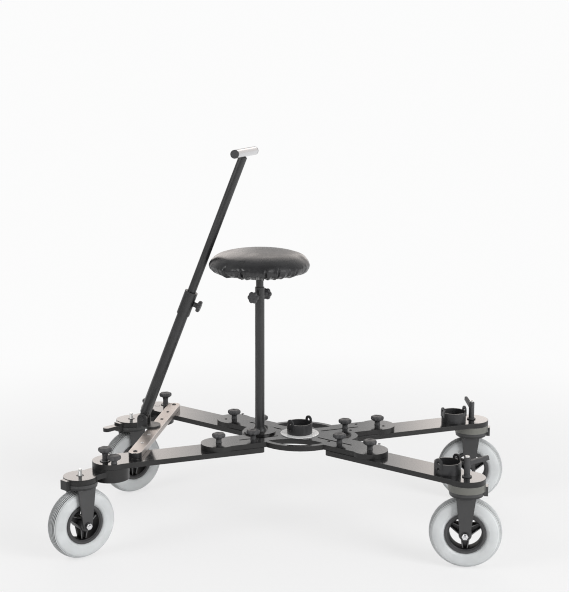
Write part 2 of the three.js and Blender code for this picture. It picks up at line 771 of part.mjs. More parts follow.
const gripPlace = (body) =>
  lean(moved(turned(alongY(body), gripTurn), 0, 0, handleLength));
const gripHalf = gripLength / 2 - gripCapThickness;
const gripTube = cut(
  disc(gripDiameter / 2, -gripHalf, gripHalf * 2, smallSides),
  disc(gripDiameter / 2 - gripWall, -gripLength, gripLength * 2, smallSides),
);
addNode("handle_grip", gripPlace(gripTube), aluminium);
const plugRadius = gripDiameter / 2 - gripWall - restGap;
for (const side of ["near", "far"]) {
  const cap = joined(
    disc(gripDiameter / 2, gripHalf + restGap, gripCapThickness - restGap, smallSides),
    disc(plugRadius, gripHalf - gripCapThickness * 2, gripCapThickness * 3 - restGap, smallSides),
  );
  const whole = side === "far" ? cap : cap.rotate([180, 0, 0]);
  addNode("handle_cap_" + side, gripPlace(whole), plasticBlack);
}
const sideReach = sleeveDiameter / 2 + restGap;
const sideStud = sideReach - upperTubeDiameter / 2 - runGap;
const handleKnob = makeKnob(
  knobNeckHeight * sideNeckShare, sideStud, sideKnobHeadShare, sideStudDiameter,
);
addNode("knob_handle", lean(moved(alongX(handleKnob), sideReach, 0, knobZ)), plasticBlack);

// Seat post on the rear pad of the hub, and the sliding inner post
const postBase = hubTop + restGap;
const flangeTop = postBase + postFlangeThickness;
const postX = (body) => moved(body, -padReach, 0, 0);
let post = turnedBody([
  [postBore / 2, postBase],
  [postFlangeDiameter / 2, postBase],
  [postFlangeDiameter / 2, flangeTop],
  [postConeDiameter / 2, flangeTop],
  [postDiameter / 2, flangeTop + postConeHeight],
  [postDiameter / 2, postTop],
  [postBore / 2, postTop],
  [postBore / 2, postBase],
], smallSides);
const bossReach = postDiameter / 2 + seatKnobBossLength;
const boss = moved(
  alongX(disc(seatKnobBossDiameter / 2, 0, bossReach, smallSides)), 0, 0, seatKnobHeight,
);
const bossHole = moved(
  alongX(disc(sideStudHole, -bossReach * 2, bossReach * 4, tinySides)), 0, 0, seatKnobHeight,
);
const core = disc(postBore / 2, postBase, postTop - postBase, smallSides);
post = post.add(cut(joined(turned(boss, seatKnobTurn), turned(boss, seatKnobTurn + Math.PI)), core));
post = post.subtract(turned(bossHole, seatKnobTurn));
addNode("seat_post", postX(post), tubeBlack);

const panBottom = seatBottom + seatPanThickness * 0.4;
const innerTop = panBottom - seatHubHeight - restGap;
const innerPost = disc(innerPostDiameter / 2, postTop - innerPostDepth, innerTop - postTop + innerPostDepth);
addNode("seat_inner_post", postX(innerPost), tubeBlack);
const pan = joined(
  disc((seatDiameter / 2) * seatPanDiameterShare, panBottom, seatPanThickness),
  disc(seatHubDiameter / 2, panBottom - seatHubHeight, seatHubHeight + restGap, smallSides),
);
addNode("seat_pan", postX(pan), tubeBlack);

// Cushion: crowned top, full rounded side, and a cover that is gathered under the edge
const cushionShares = [
  [0.0, 0.17], [0.86, 0.17], [0.875, 0.0], [0.915, 0.0], [0.955, 0.13], [0.99, 0.27], [1.0, 0.42],
  [0.985, 0.52], [0.91, 0.67], [0.77, 0.8], [0.58, 0.9], [0.36, 0.965], [0.17, 0.992], [0.0, 1.0],
];
const pleatShares = [0, 0, 0.5, 1, 1, 0.5, 0.15, 0, 0, 0, 0, 0, 0, 0];
const makeCushion = () => {
  const height = seatTop - seatBottom;
  const radius = seatDiameter / 2;
  const steps = pleatCount * 2;
  const rows = cushionShares.slice(1, -1);
  const first = cushionShares[0];
  const last = cushionShares[cushionShares.length - 1];
  const points = [[0, 0, seatBottom + first[1] * height], [0, 0, seatBottom + last[1] * height]];
  rows.forEach(([r, z], row) => {
    for (let i = 0; i < steps; i++) {
      const angle = (i / steps) * Math.PI * 2;
      const fold = (i % 2) * pleatShares[row + 1] * pleatDepthShare;
      const reach = radius * (r - fold);
      points.push([reach * Math.cos(angle), reach * Math.sin(angle), seatBottom + z * height]);
    }
  });
  const faces = [];
  const at = (row, i) => 2 + row * steps + (i % steps);
  for (let i = 0; i < steps; i++) {
    faces.push(0, at(0, i + 1), at(0, i));
    faces.push(1, at(rows.length - 1, i), at(rows.length - 1, i + 1));
    for (let row = 0; row < rows.length - 1; row++) {
      faces.push(at(row, i), at(row, i + 1), at(row + 1, i + 1));
      faces.push(at(row, i), at(row + 1, i + 1), at(row + 1, i));
    }
  }
  const geometry = new THREE.BufferGeometry();
  geometry.setAttribute("position", new THREE.Float32BufferAttribute(points.flat(), 3));
  geometry.setIndex(faces);
  return solid(geometry);
};
const panClear = disc(
  (seatDiameter / 2) * seatPanDiameterShare + restGap, panBottom - seatPanThickness,
  seatPanThickness * 2 + restGap,
);
addNode("seat_cushion", postX(makeCushion().subtract(panClear)), leatherBlack);

const seatKnob = makeKnob(
  knobNeckHeight * sideNeckShare, bossReach + restGap - innerPostDiameter / 2 - runGap,
  sideKnobHeadShare, sideStudDiameter,
);
for (const [side, turn] of [["near", seatKnobTurn + Math.PI], ["far", seatKnobTurn]]) {
  const laid = moved(alongX(seatKnob), bossReach + restGap, 0, seatKnobHeight);
  addNode("knob_seat_" + side, postX(turned(laid, turn)), plasticBlack);
}

// The origin goes on the floor under the middle of the whole object
const middle = new THREE.Box3().setFromObject(group).getCenter(new THREE.Vector3());
group.position.set(-middle.x, -middle.y, 0);

export default group;
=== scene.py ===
import json
import math
import random

import bmesh
import bpy
from mathutils import Matrix, Vector


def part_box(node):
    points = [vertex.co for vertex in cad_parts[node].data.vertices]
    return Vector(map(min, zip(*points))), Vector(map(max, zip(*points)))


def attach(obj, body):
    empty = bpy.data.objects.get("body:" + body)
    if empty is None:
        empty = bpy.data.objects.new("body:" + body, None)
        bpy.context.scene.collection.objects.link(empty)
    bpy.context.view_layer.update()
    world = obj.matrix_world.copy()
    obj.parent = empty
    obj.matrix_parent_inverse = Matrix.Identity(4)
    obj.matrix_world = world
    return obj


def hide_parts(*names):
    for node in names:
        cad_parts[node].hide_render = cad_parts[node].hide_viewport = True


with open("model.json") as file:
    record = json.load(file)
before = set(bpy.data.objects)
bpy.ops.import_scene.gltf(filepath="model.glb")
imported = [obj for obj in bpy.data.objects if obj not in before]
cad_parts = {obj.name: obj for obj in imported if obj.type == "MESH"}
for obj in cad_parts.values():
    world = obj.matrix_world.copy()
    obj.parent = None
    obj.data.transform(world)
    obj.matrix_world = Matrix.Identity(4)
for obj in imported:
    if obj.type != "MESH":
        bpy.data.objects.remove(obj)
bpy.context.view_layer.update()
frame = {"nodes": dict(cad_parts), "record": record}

# The studio: a pale floor that runs into a white backdrop, a surround that is darker on the viewer's side, a
# broad lamp on the right and a weaker one on the left. The right lamp isn't mirrored: a soft patch of the
# surround shows in the gloss instead. The view is the one from which the plan and heights were read.
view = bpy.data.cameras.new("view")
view.sensor_fit = "HORIZONTAL"
view.sensor_width = 36
view.lens = 91.7696
view.clip_end = 100
viewpoint = bpy.data.objects.new("view", view)
viewpoint.location = (0.57294, -4.02804, 1.50456)
viewpoint.rotation_euler = [math.radians(angle) for angle in (78.7465, -0.1330, 8.3672)]
bpy.context.scene.collection.objects.link(viewpoint)
bpy.context.scene.camera = viewpoint
bpy.context.scene.view_settings.view_transform = "Standard"
bpy.context.scene.cycles.filter_width = 1.1

right_lamp = Vector((3.2, -1.9, 1.7))
left_lamp = Vector((-2.6, -2.2, 2.6))
lamp_aim = Vector((0, 0, 0.3))
for lamp_name, place, watts, mirrored in (("softbox_right", right_lamp, 72, False),
                                          ("softbox_left", left_lamp, 40, True)):
    lamp = bpy.data.lights.new(lamp_name, "AREA")
    lamp.shape = "DISK"
    lamp.size = 2.0
    lamp.energy = watts
    lamp_object = bpy.data.objects.new(lamp_name, lamp)
    lamp_object.visible_camera = False
    lamp_object.visible_glossy = mirrored
    lamp_object.location = place
    lamp_object.rotation_euler = (lamp_aim - place).to_track_quat("-Z", "Y").to_euler()
    bpy.context.scene.collection.objects.link(lamp_object)


def fitted(tree, node, inputs):
    """Sets each of a node's inputs, or wires it where the value is a socket."""
    for key, value in dict(inputs).items():
        if isinstance(value, bpy.types.NodeSocket):
            tree.links.new(value, node.inputs[key])
        else:
            node.inputs[key].default_value = value
    return node


def added(tree, kind, inputs=(), **settings):
    """A new node with these settings, its inputs set or wired."""
    node = tree.nodes.new(kind)
    for key, value in settings.items():
        setattr(node, key, value)
    return fitted(tree, node, inputs)


def calc(tree, operation, *values):
    """One math node; each value is a number or a socket."""
    return added(tree, "ShaderNodeMath", enumerate(values), operation=operation).outputs[0]


def spread(tree, value, low, high, to_low, to_high):
    """Maps a value from one span to another, smoothly and clamped."""
    spans = {"Value": value, "From Min": low, "From Max": high, "To Min": to_low, "To Max": to_high}
    return added(tree, "ShaderNodeMapRange", spans, interpolation_type="SMOOTHSTEP").outputs[0]


backdrop_white = (0.97, 0.97, 0.97, 1)
surround = bpy.data.worlds.new("surround")
surround.use_nodes = True
bpy.context.scene.world = surround
sky = surround.node_tree
sky.nodes.clear()
sky_place = added(sky, "ShaderNodeTexCoord").outputs["Generated"]
sky_x, sky_y, sky_z = added(sky, "ShaderNodeSeparateXYZ", {0: sky_place}).outputs
sky_lampward = added(sky, "ShaderNodeVectorMath", {0: sky_place, 1: right_lamp.normalized()},
                     operation="DOT_PRODUCT").outputs["Value"]
sky_left = spread(sky, sky_x, -0.26, -0.15, 1.5, 0.0)
sky_right = calc(sky, "MULTIPLY", spread(sky, sky_x, -0.10, 0.00, 0.0, 1.7),
                 spread(sky, sky_x, 0.06, 0.22, 1.0, 0.3))
sky_low = calc(sky, "MULTIPLY", calc(sky, "ADD", sky_left, sky_right),
               spread(sky, sky_z, 0.34, 0.42, 1.0, 0.0))
sky_band = calc(sky, "MULTIPLY", spread(sky, sky_z, 0.34, 0.42, 0.0, 1.0),
                spread(sky, sky_z, 0.54, 0.64, 1.0, 0.0))
sky_high = calc(sky, "MULTIPLY", sky_band, spread(sky, sky_x, -0.40, 0.20, 2.7, 0.7))
sky_wall = calc(sky, "MULTIPLY", calc(sky, "ADD", sky_low, sky_high),
                spread(sky, sky_y, 0.66, 0.84, 0.0, 1.0))
sky_level = calc(sky, "ADD", sky_wall, spread(sky, sky_y, -0.6, 0.6, 0.22, 0.62))
sky_level = calc(sky, "ADD", sky_level, spread(sky, sky_lampward, 0.91, 0.98, 0.0, 2.7))
sky_tint = added(sky, "ShaderNodeMix", {
    "Factor": sky_wall, "A": (0.80, 0.80, 0.80, 1), "B": (0.84, 0.785, 0.75, 1),
}, data_type="RGBA")
sky_room = added(sky, "ShaderNodeBackground", {"Strength": sky_level, "Color": sky_tint.outputs["Result"]})
sky_white = added(sky, "ShaderNodeBackground", {"Color": backdrop_white})
sky_path = added(sky, "ShaderNodeLightPath").outputs
sky_seen = calc(sky, "MAXIMUM", sky_path["Is Camera Ray"], sky_path["Is Transmission Ray"])
sky_mix = added(sky, "ShaderNodeMixShader", {0: sky_seen, 1: sky_room.outputs[0], 2: sky_white.outputs[0]})
added(sky, "ShaderNodeOutputWorld", {0: sky_mix.outputs[0]})

floor_half = 40
floor_corners = [(x * floor_half, y * floor_half, 0) for x, y in ((-1, -1), (1, -1), (1, 1), (-1, 1))]
floor_mesh = bpy.data.meshes.new("floor")
floor_mesh.from_pydata(floor_corners, [], [(0, 1, 2, 3)])
floor = bpy.data.objects.new("floor", floor_mesh)
bpy.context.scene.collection.objects.link(floor)
floor_paint = bpy.data.materials.new("floor_paint")
floor_paint.use_nodes = True
floor_tree = floor_paint.node_tree
floor_shader = fitted(floor_tree, floor_tree.nodes["Principled BSDF"], {
    "Base Color": (0.9, 0.9, 0.905, 1), "Roughness": 0.8, "Specular IOR Level": 0.2,
})
floor_path = added(floor_tree, "ShaderNodeLightPath").outputs
floor_place = added(floor_tree, "ShaderNodeTexCoord").outputs["Object"]
floor_far = added(floor_tree, "ShaderNodeVectorMath", {0: floor_place}, operation="LENGTH").outputs["Value"]
floor_back = added(floor_tree, "ShaderNodeVectorMath", {0: floor_place, 1: (0.4, 1.0, 0.0)},
                   operation="DOT_PRODUCT").outputs["Value"]
floor_gloss = calc(floor_tree, "MULTIPLY", floor_path["Is Glossy Ray"],
                   spread(floor_tree, floor_back, -1.6, -0.5, 0.08, 1.0))
floor_seen = calc(floor_tree, "MAXIMUM", floor_path["Is Camera Ray"], floor_gloss)
floor_seen = calc(floor_tree, "MAXIMUM", floor_seen, floor_path["Is Transmission Ray"])
floor_share = calc(floor_tree, "MULTIPLY", floor_seen, spread(floor_tree, floor_far, 0.8, 2.4, 0.70, 1.0))
floor_glow = added(floor_tree, "ShaderNodeEmission", {"Color": backdrop_white})
floor_mix = added(floor_tree, "ShaderNodeMixShader", {
    0: floor_share, 1: floor_shader.outputs[0], 2: floor_glow.outputs[0],
})
floor_tree.links.new(floor_mix.outputs[0], floor_tree.nodes["Material Output"].inputs["Surface"])
floor_mesh.materials.append(floor_paint)


# Hub plate, arms and swing links: flat bars sawn from plate, their edges broken with a file, then anodised
# glossy black. The finish is fine and even, with a few soft handling marks and edges rubbed a little lighter.
# The upright walls of the hub's slits are painted near black as painted shade.
def noise(tree, vector, scale, detail, roughness=0.5):
    """A noise texture on that vector."""
    sizes = {"Vector": vector, "Scale": scale, "Detail": detail, "Roughness": roughness}
    return added(tree, "ShaderNodeTexNoise", sizes).outputs["Fac"]


grain_depth = 0.0004
mark_kinds = (("Grain", 900.0, 2.0, 0.25, 0.75), ("Smudge", 9.0, 5.0, 0.38, 0.68),
              ("Speck", 260.0, 1.0, 0.66, 0.74))
marks_tree = bpy.data.node_groups.new("surface_marks", "ShaderNodeTree")
for key, scale, *_ in mark_kinds:
    scale_socket = marks_tree.interface.new_socket(key + " scale", in_out="INPUT",
                                                   socket_type="NodeSocketFloat")
    scale_socket.default_value = scale
    marks_tree.interface.new_socket(key, in_out="OUTPUT", socket_type="NodeSocketFloat")
marks_in, marks_out = added(marks_tree, "NodeGroupInput"), added(marks_tree, "NodeGroupOutput")
marks_place = added(marks_tree, "ShaderNodeTexCoord").outputs["Object"]
for key, _, detail, low, high in mark_kinds:
    made = noise(marks_tree, marks_place, marks_in.outputs[key + " scale"], detail)
    marks_tree.links.new(spread(marks_tree, made, low, high, 0.0, 1.0), marks_out.inputs[key])


def finish(name, colour, roughness, metallic=0.0, vary=0.12, rough_vary=0.1, bump=0.04, speck=0.0,
           grain=900.0, smudge=9.0, specular=0.5, coat=0.0, coat_roughness=0.1):
    """A finish whose colour and gloss drift with soft marks, over a fine grain."""
    paint = bpy.data.materials.new(name)
    paint.use_nodes = True
    tree = paint.node_tree
    marks = added(tree, "ShaderNodeGroup", {"Grain scale": grain, "Smudge scale": smudge},
                  node_tree=marks_tree)
    smudged = marks.outputs["Smudge"]
    mixed = added(tree, "ShaderNodeMix", {
        "Factor": smudged, "A": (*[c * (1 - vary) for c in colour], 1),
        "B": (*[min(1.0, c * (1 + vary)) for c in colour], 1),
    }, data_type="RGBA")
    specked = added(tree, "ShaderNodeMix", {
        "Factor": calc(tree, "MULTIPLY", marks.outputs["Speck"], speck), "A": mixed.outputs["Result"],
        "B": (*[c * 0.5 + 0.5 * speck for c in colour], 1),
    }, data_type="RGBA")
    relief = added(tree, "ShaderNodeBump", {
        "Strength": bump, "Distance": grain_depth, "Height": marks.outputs["Grain"],
    })
    fitted(tree, tree.nodes["Principled BSDF"], {
        "Base Color": specked.outputs["Result"], "Metallic": metallic, "Specular IOR Level": specular,
        "Roughness": spread(tree, smudged, 0, 1, roughness - rough_vary / 2, roughness + rough_vary / 2),
        "Coat Weight": coat, "Coat Roughness": coat_roughness, "Normal": relief.outputs[0],
    })
    return paint


def soften(mesh, angle=35):
    """Smooth shading, with the edges sharper than the angle kept crisp."""
    mesh.polygons.foreach_set("use_smooth", [True] * len(mesh.polygons))
    mesh.set_sharp_from_angle(angle=math.radians(angle))


body_of_node = {n: body for body, names in frame["record"]["behaviour"]["bodies"].items() for n in names}
slot_of_node = {part["node"]: part["material_slot"] for part in frame["record"]["subparts"]}


def piece(name, mesh, paints, body, slot, *nodes):
    """Puts a mesh into the scene as a piece on that body; it stands for the nodes, if any are named."""
    picked = [face.material_index for face in mesh.polygons]
    mesh.materials.clear()
    for paint in paints:
        mesh.materials.append(paint)
    mesh.polygons.foreach_set("material_index", picked)
    made = bpy.data.objects.new(name, mesh)
    bpy.context.scene.collection.objects.link(made)
    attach(made, body)
    if nodes:
        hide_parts(*nodes)
    return made


def modified(mesh, kind, inputs=(), **settings):
    """The mesh that one modifier makes of another; the inputs are those of a Geometry Nodes tree."""
    carrier = bpy.data.objects.new("carrier", mesh)
    bpy.context.scene.collection.objects.link(carrier)
    modifier = carrier.modifiers.new("shape", kind)
    for key, value in settings.items():
        setattr(modifier, key, value)
    for key, value in dict(inputs).items():
        modifier[key] = value
    result = bpy.data.meshes.new_from_object(carrier.evaluated_get(bpy.context.evaluated_depsgraph_get()))
    bpy.data.objects.remove(carrier)
    return result


def dressed(node, paints, edge, steps=2, pick=None):
    """A node's solid, merged and with its edges broken; the last paint is for those edges. The shading
    leans towards the large faces, so that they look flat right up to their edges."""
    shape = bmesh.new()
    shape.from_mesh(frame["nodes"][node].data)
    bmesh.ops.remove_doubles(shape, verts=shape.verts, dist=0.00002)
    bmesh.ops.dissolve_limit(
        shape, angle_limit=math.radians(1.0), verts=shape.verts, edges=shape.edges, delimit=set(),
    )
    for face in shape.faces:
        face.material_index = pick(face) if pick else 0
    corners = [e for e in shape.edges if e.is_manifold and e.calc_face_angle() > math.radians(40)]
    bmesh.ops.bevel(
        shape, geom=corners, offset=edge, segments=steps, profile=0.5, affect="EDGES",
        clamp_overlap=True, material=len(paints) - 1,
    )
    mesh = bpy.data.meshes.new(node + "_skin")
    shape.to_mesh(mesh)
    shape.free()
    soften(mesh)
    skin = modified(mesh, "WEIGHTED_NORMAL", weight=100, keep_sharp=True)
    return piece(node + "_skin", skin, paints, body_of_node[node], slot_of_node[node], node)


plate_black = finish("plate_black", (0.015, 0.0145, 0.015), 0.18, vary=0.25, rough_vary=0.06, bump=0.02,
                     speck=0.05, smudge=7.0, coat=0.9, coat_roughness=0.08)
plate_edge = finish("plate_edge", (0.045, 0.045, 0.046), 0.30, metallic=0.3, vary=0.3, bump=0.02)
plate_side = finish("plate_side", (0.020, 0.0195, 0.0195), 0.40, vary=0.25, bump=0.03, specular=0.45)
# Painted shade for the walls inside the hub's slits.
slit_painted_shade = finish("slit_painted_shade", (0.004, 0.004, 0.004), 0.7, vary=0.2, specular=0.1)
hub_centre = Vector((0.020527, 0.054940, 0))
arm_turn = math.radians(29.8)
plate_break = 0.0009
slit_reach, slit_start, slit_end, slit_widening, slit_shade_reach = 0.0035, 0.06, 0.20, 0.0014, 0.0050


def side_paint(face):
    """The sawn sides are less glossy than the faces."""
    return 1 if abs(face.normal.z) < 0.5 else 0


for node in ("arm_front_near", "arm_front_far", "arm_rear_near", "arm_rear_far", "link_rear_near",
             "link_rear_far"):
    dressed(node, (plate_black, plate_side, plate_edge), plate_break, pick=side_paint)
hub_paints = (plate_black, plate_side, slit_painted_shade, plate_edge)
hub_skin = dressed("hub_plate", hub_paints, plate_break, pick=side_paint)
for vertex in hub_skin.data.vertices:
    place = vertex.co - hub_centre
    out = Vector((math.copysign(math.cos(arm_turn), place.x), math.copysign(math.sin(arm_turn), place.y), 0))
    side = place - out * place.dot(out)
    if side.xy.length < slit_reach and slit_start < place.dot(out) < slit_end:
        vertex.co += Vector((side.x, side.y, 0)).normalized() * slit_widening
# Painted shade: the slits' upright walls take the near-black slit paint, standing in for the shade deep in
# the narrow slits.
for face in hub_skin.data.polygons:
    place = face.center - hub_centre
    off_arm = math.atan2(abs(place.y), abs(place.x)) - arm_turn
    beside = place.xy.length * abs(math.sin(off_arm))
    along = place.xy.length * math.cos(off_arm)
    if abs(face.normal.z) < 0.95 and beside < slit_shade_reach and slit_start < along < slit_end:
        face.material_index = hub_paints.index(slit_painted_shade)

# Centre disc: a thin disc of white enamelled sheet under the middle cup, so that the cup's foot doesn't mark
# the plate. It is only laid in place.
white_enamel = finish("white_enamel", (0.92, 0.92, 0.92), 0.3, vary=0.04, bump=0.01)
dressed("centre_disc", (white_enamel, white_enamel), 0.0005)


# Cross bar: a length of aluminium box section, satin anodised, with black moulded ends, bolted down over the
# two rear arms. Drawing marks run along it.
def drawn_metal(name, colour, roughness, strength=0.12):
    """A bare metal finish with fine drawing marks along Y."""
    paint = finish(name, colour, roughness, metallic=1.0, vary=0.08, bump=0.03)
    tree = paint.node_tree
    shader = tree.nodes["Principled BSDF"]
    place = added(tree, "ShaderNodeTexCoord").outputs["Object"]
    stretched = added(tree, "ShaderNodeMapping", {"Vector": place, "Scale": (1200, 25, 1200)}).outputs[0]
    streaks = added(tree, "ShaderNodeBump", {
        "Strength": strength, "Distance": grain_depth, "Height": noise(tree, stretched, 1.0, 2.0),
        "Normal": shader.inputs["Normal"].links[0].from_socket,
    })
    tree.links.new(streaks.outputs[0], shader.inputs["Normal"])
    return paint


bar_metal = drawn_metal("bar_metal", (0.50, 0.46, 0.435), 0.42)
bar_edge = drawn_metal("bar_edge", (0.62, 0.59, 0.57), 0.30)
bar_end = finish("bar_end", (0.022, 0.022, 0.023), 0.42, vary=0.2)
bar_low, bar_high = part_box("cross_bar")
bar_round = (bar_high.x - bar_low.x) / 2


def bar_paint(face):
    """The upright faces round the two ends are the black end pieces."""
    y = face.calc_center_median().y
    near_end = min(y - bar_low.y, bar_high.y - y) < bar_round
    return 1 if near_end and abs(face.normal.z) < 0.5 else 0


dressed("cross_bar", (bar_metal, bar_end, bar_edge), 0.0012, pick=bar_paint)


# Swivel discs: thick turned discs of mid grey between the front arms and the forks, each with a small black
# stop block at its outer side.
disc_grey = finish("disc_grey", (0.19, 0.19, 0.172), 0.42, metallic=0.2, vary=0.12)
disc_edge = finish("disc_edge", (0.24, 0.24, 0.23), 0.32, metallic=0.3, vary=0.12)
disc_thickness, disc_slack = 0.0205, 0.0004
for side in ("near", "far"):
    disc_low, disc_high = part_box("swivel_disc_front_" + side)
    disc_radius = (disc_high.y - disc_low.y) / 2
    disc_middle = Vector((disc_low.x + disc_radius, disc_low.y + disc_radius, 0))

    def disc_paint(face):
        """The stop block, outside or under the round disc, is black."""
        place = face.calc_center_median() - disc_middle
        beside = place.xy.length > disc_radius + disc_slack
        return 1 if beside or place.z < disc_high.z - disc_thickness else 0

    dressed("swivel_disc_front_" + side, (disc_grey, plate_black, disc_edge), 0.0010, pick=disc_paint)


# Forks: folded from 6 mm sheet, with tapered legs, welded under a round turntable and painted satin dark
# grey. The kingpin stands up through the disc or link above.
corner_names = ("front_near", "front_far", "rear_near", "rear_far")
fork_grey = finish("fork_grey", (0.062, 0.062, 0.063), 0.42, metallic=0.1, vary=0.12, bump=0.12, grain=420.0)
fork_edge = finish("fork_edge", (0.10, 0.10, 0.10), 0.36, metallic=0.2, vary=0.2)
for corner in corner_names:
    dressed("fork_" + corner, (fork_grey, fork_edge), 0.0010)


# Wheel frames: each wheel's centre and the turn of its fork about the upright. The rims and tyres below are
# made once with the axle along Y at the origin, and set into each corner.
wheel_radius = 0.100
rear_turn = math.radians(226)
wheel_turn = {"front_near": 0.0, "front_far": 0.0, "rear_near": rear_turn, "rear_far": rear_turn}
wheel_place = {}
for corner in corner_names:
    low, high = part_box("tyre_" + corner)
    middle = (low + high) / 2
    wheel_place[corner] = Matrix.Translation((middle.x, middle.y, wheel_radius)) @ Matrix.Rotation(
        wheel_turn[corner], 4, "Z")


def geometry_tree(name, sizes):
    """A Geometry Nodes tree with a named input for each size; a size of None is a material."""
    tree = bpy.data.node_groups.new(name, "GeometryNodeTree")
    tree.interface.new_socket("Geometry", in_out="INPUT", socket_type="NodeSocketGeometry")
    for key, value in sizes.items():
        kind = {int: "NodeSocketInt", float: "NodeSocketFloat"}.get(type(value), "NodeSocketMaterial")
        socket = tree.interface.new_socket(key, in_out="INPUT", socket_type=kind)
        if value is not None:
            socket.default_value = value
    tree.interface.new_socket("Geometry", in_out="OUTPUT", socket_type="NodeSocketGeometry")
    return tree, added(tree, "NodeGroupInput")


def grown(mesh, tree, sizes):
    """Runs a tree on a mesh and returns the plain mesh that it makes."""
    sockets = {socket.name: socket.identifier for socket in tree.interface.items_tree
               if socket.item_type == "SOCKET" and socket.in_out == "INPUT"}
    return modified(mesh, "NODES", {sockets[key]: value for key, value in sizes.items()}, node_group=tree)


def finished(tree, geometry, paint):
    """Realises the geometry, sets its material and wires it to the tree's end."""
    real = added(tree, "GeometryNodeRealizeInstances", {0: geometry})
    coat = added(tree, "GeometryNodeSetMaterial", {"Geometry": real.outputs[0], "Material": paint})
    added(tree, "NodeGroupOutput", {0: coat.outputs[0]})


def turned_mesh(name, profile, steps, closed=False):
    """A mesh turned round Z from (radius, height) pairs that run with the outside on their right."""
    shape = bmesh.new()
    rows = []
    for radius, height in profile:
        if radius < 1e-7:
            rows.append([shape.verts.new((0, 0, height))] * steps)
        else:
            rows.append([shape.verts.new((radius * math.cos(i / steps * math.tau),
                                          radius * math.sin(i / steps * math.tau), height))
                         for i in range(steps)])
    pairs = list(zip(rows, rows[1:])) + ([(rows[-1], rows[0])] if closed else [])
    for lower, upper in pairs:
        for i in range(steps):
            j = (i + 1) % steps
            ring = [lower[i], lower[j], upper[j], upper[i]]
            ring = [v for k, v in enumerate(ring) if v not in ring[:k]]
            if len(ring) > 2:
                shape.faces.new(ring)
    bmesh.ops.recalc_face_normals(shape, faces=shape.faces)
    mesh = bpy.data.meshes.new(name)
    shape.to_mesh(mesh)
    shape.free()
    return mesh


def smooth_line(points, steps):
    """Points on a smooth curve through the given ones, with that many steps between each two."""
    ends = [points[0], *points, points[-1]]
    line = []
    for a, b, c, d in zip(ends, ends[1:], ends[2:], ends[3:]):
        for k in range(steps):
            t = k / steps
            line.append(tuple(
                0.5 * (2 * q + (r - p) * t + (2 * p - 5 * q + 4 * r - s) * t * t
                       + (3 * q - p - 3 * r + s) * t ** 3)
                for p, q, r, s in zip(a, b, c, d)))
    return line + [points[-1]]


lay_along_y = Matrix.Rotation(math.radians(-90), 4, "X")


# Tyres: pale grey pneumatic tyres that leave no marks, 200 by 50 mm, moulded in one piece with the tread.
# Narrow grooves run round the crown, with painted shade making the rubber near black in them and in the
# shoulder's groove, and each side wall has two thin lines.
tyre_rubber = finish("tyre_rubber", (0.68, 0.70, 0.705), 0.60, vary=0.05, bump=0.10, grain=700.0, smudge=22.0,
                     specular=0.4)
tyre_tree = tyre_rubber.node_tree
tyre_shader = tyre_tree.nodes["Principled BSDF"]
# Painted shade: the groove attribute mixes the rubber towards near black, standing in for the shade inside
# the grooves.
tyre_groove_shade = added(tyre_tree, "ShaderNodeMix", {
    "Factor": added(tyre_tree, "ShaderNodeAttribute", attribute_name="groove").outputs["Fac"],
    "A": tyre_shader.inputs["Base Color"].links[0].from_socket, "B": (0.03, 0.03, 0.031, 1),
}, data_type="RGBA")
fitted(tyre_tree, tyre_shader, {"Base Color": tyre_groove_shade.outputs["Result"]})

sidewall = smooth_line([(0.0951, 0.0178), (0.0905, 0.0216), (0.0850, 0.0240), (0.0780, 0.02495),
                        (0.0700, 0.0248), (0.0640, 0.0238), (0.0600, 0.0218), (0.0580, 0.0196)], 8)
tread_grooves = (0.0023, 0.0069, 0.0115, 0.0158)
groove_half, groove_slope, groove_cut = 0.0017, 0.0009, 0.0022
side_lines, line_lift, line_half = (0.0665, 0.0880), 0.0006, 0.0009
shoulder_groove, shoulder_half = 0.0930, 0.0014


def crown_height(across):
    """The radius of the tread's plain crown."""
    return 0.0999 - 0.0048 * (abs(across) / 0.017) ** 2.4


def groove_depth(across):
    """How far the nearest groove cuts in there, from 0 to 1."""
    gap = min(abs(abs(across) - at) for at in tread_grooves)
    return min(1.0, max(0.0, (groove_half - gap) / groove_slope))


def shoulder_depth(radius):
    """How far the shoulder's groove cuts in there, from 0 to 1."""
    return max(0.0, 1 - abs(radius - shoulder_groove) / shoulder_half)


def side_relief(point):
    """Lifts the side wall where its thin lines run, and cuts the outermost groove into the shoulder."""
    radius, across = point
    lift = sum(line_lift * max(0.0, 1 - abs(radius - at) / line_half) for at in side_lines)
    cut = shoulder_depth(radius)
    return radius - 0.0008 * cut, across + lift - 0.0007 * cut


crown_step, crown_steps, tyre_steps = 0.0005, 34, 224
crown = [(crown_height(step * crown_step) - groove_cut * groove_depth(step * crown_step), step * crown_step)
         for step in range(-crown_steps, crown_steps + 1)]
side_points = [side_relief(point) for point in sidewall]
shoulder_shade = [0.35 * shoulder_depth(point[0]) for point in sidewall]
bead = [(0.0509, 0.0188), (0.0509, 0.0130), (0.0700, 0.0170), (0.0850, 0.0140)]
tyre_profile = ([(r, -y) for r, y in reversed(side_points)] + crown + side_points + bead
                + [(0.0890, 0.0)] + [(r, -y) for r, y in reversed(bead)])
tyre_mesh = turned_mesh("tyre", tyre_profile, tyre_steps, closed=True)
# The groove attribute holds the painted shade: full in the crown's grooves, about a third in the shoulder's
# groove.
groove_shade = tyre_mesh.attributes.new("groove", "FLOAT", "POINT")
profile_shade = shoulder_shade[::-1] + [groove_depth(across) for _, across in crown] + shoulder_shade
for index, mark in enumerate(groove_shade.data):
    row = index // tyre_steps
    mark.value = profile_shade[row] if row < len(profile_shade) else 0.0
for corner in corner_names:
    mesh = tyre_mesh.copy()
    mesh.transform(wheel_place[corner] @ lay_along_y)
    soften(mesh, 50)
    piece("tyre_" + corner + "_skin", mesh, (tyre_rubber,), "wheel_body_" + corner, "tyre", "tyre_" + corner)
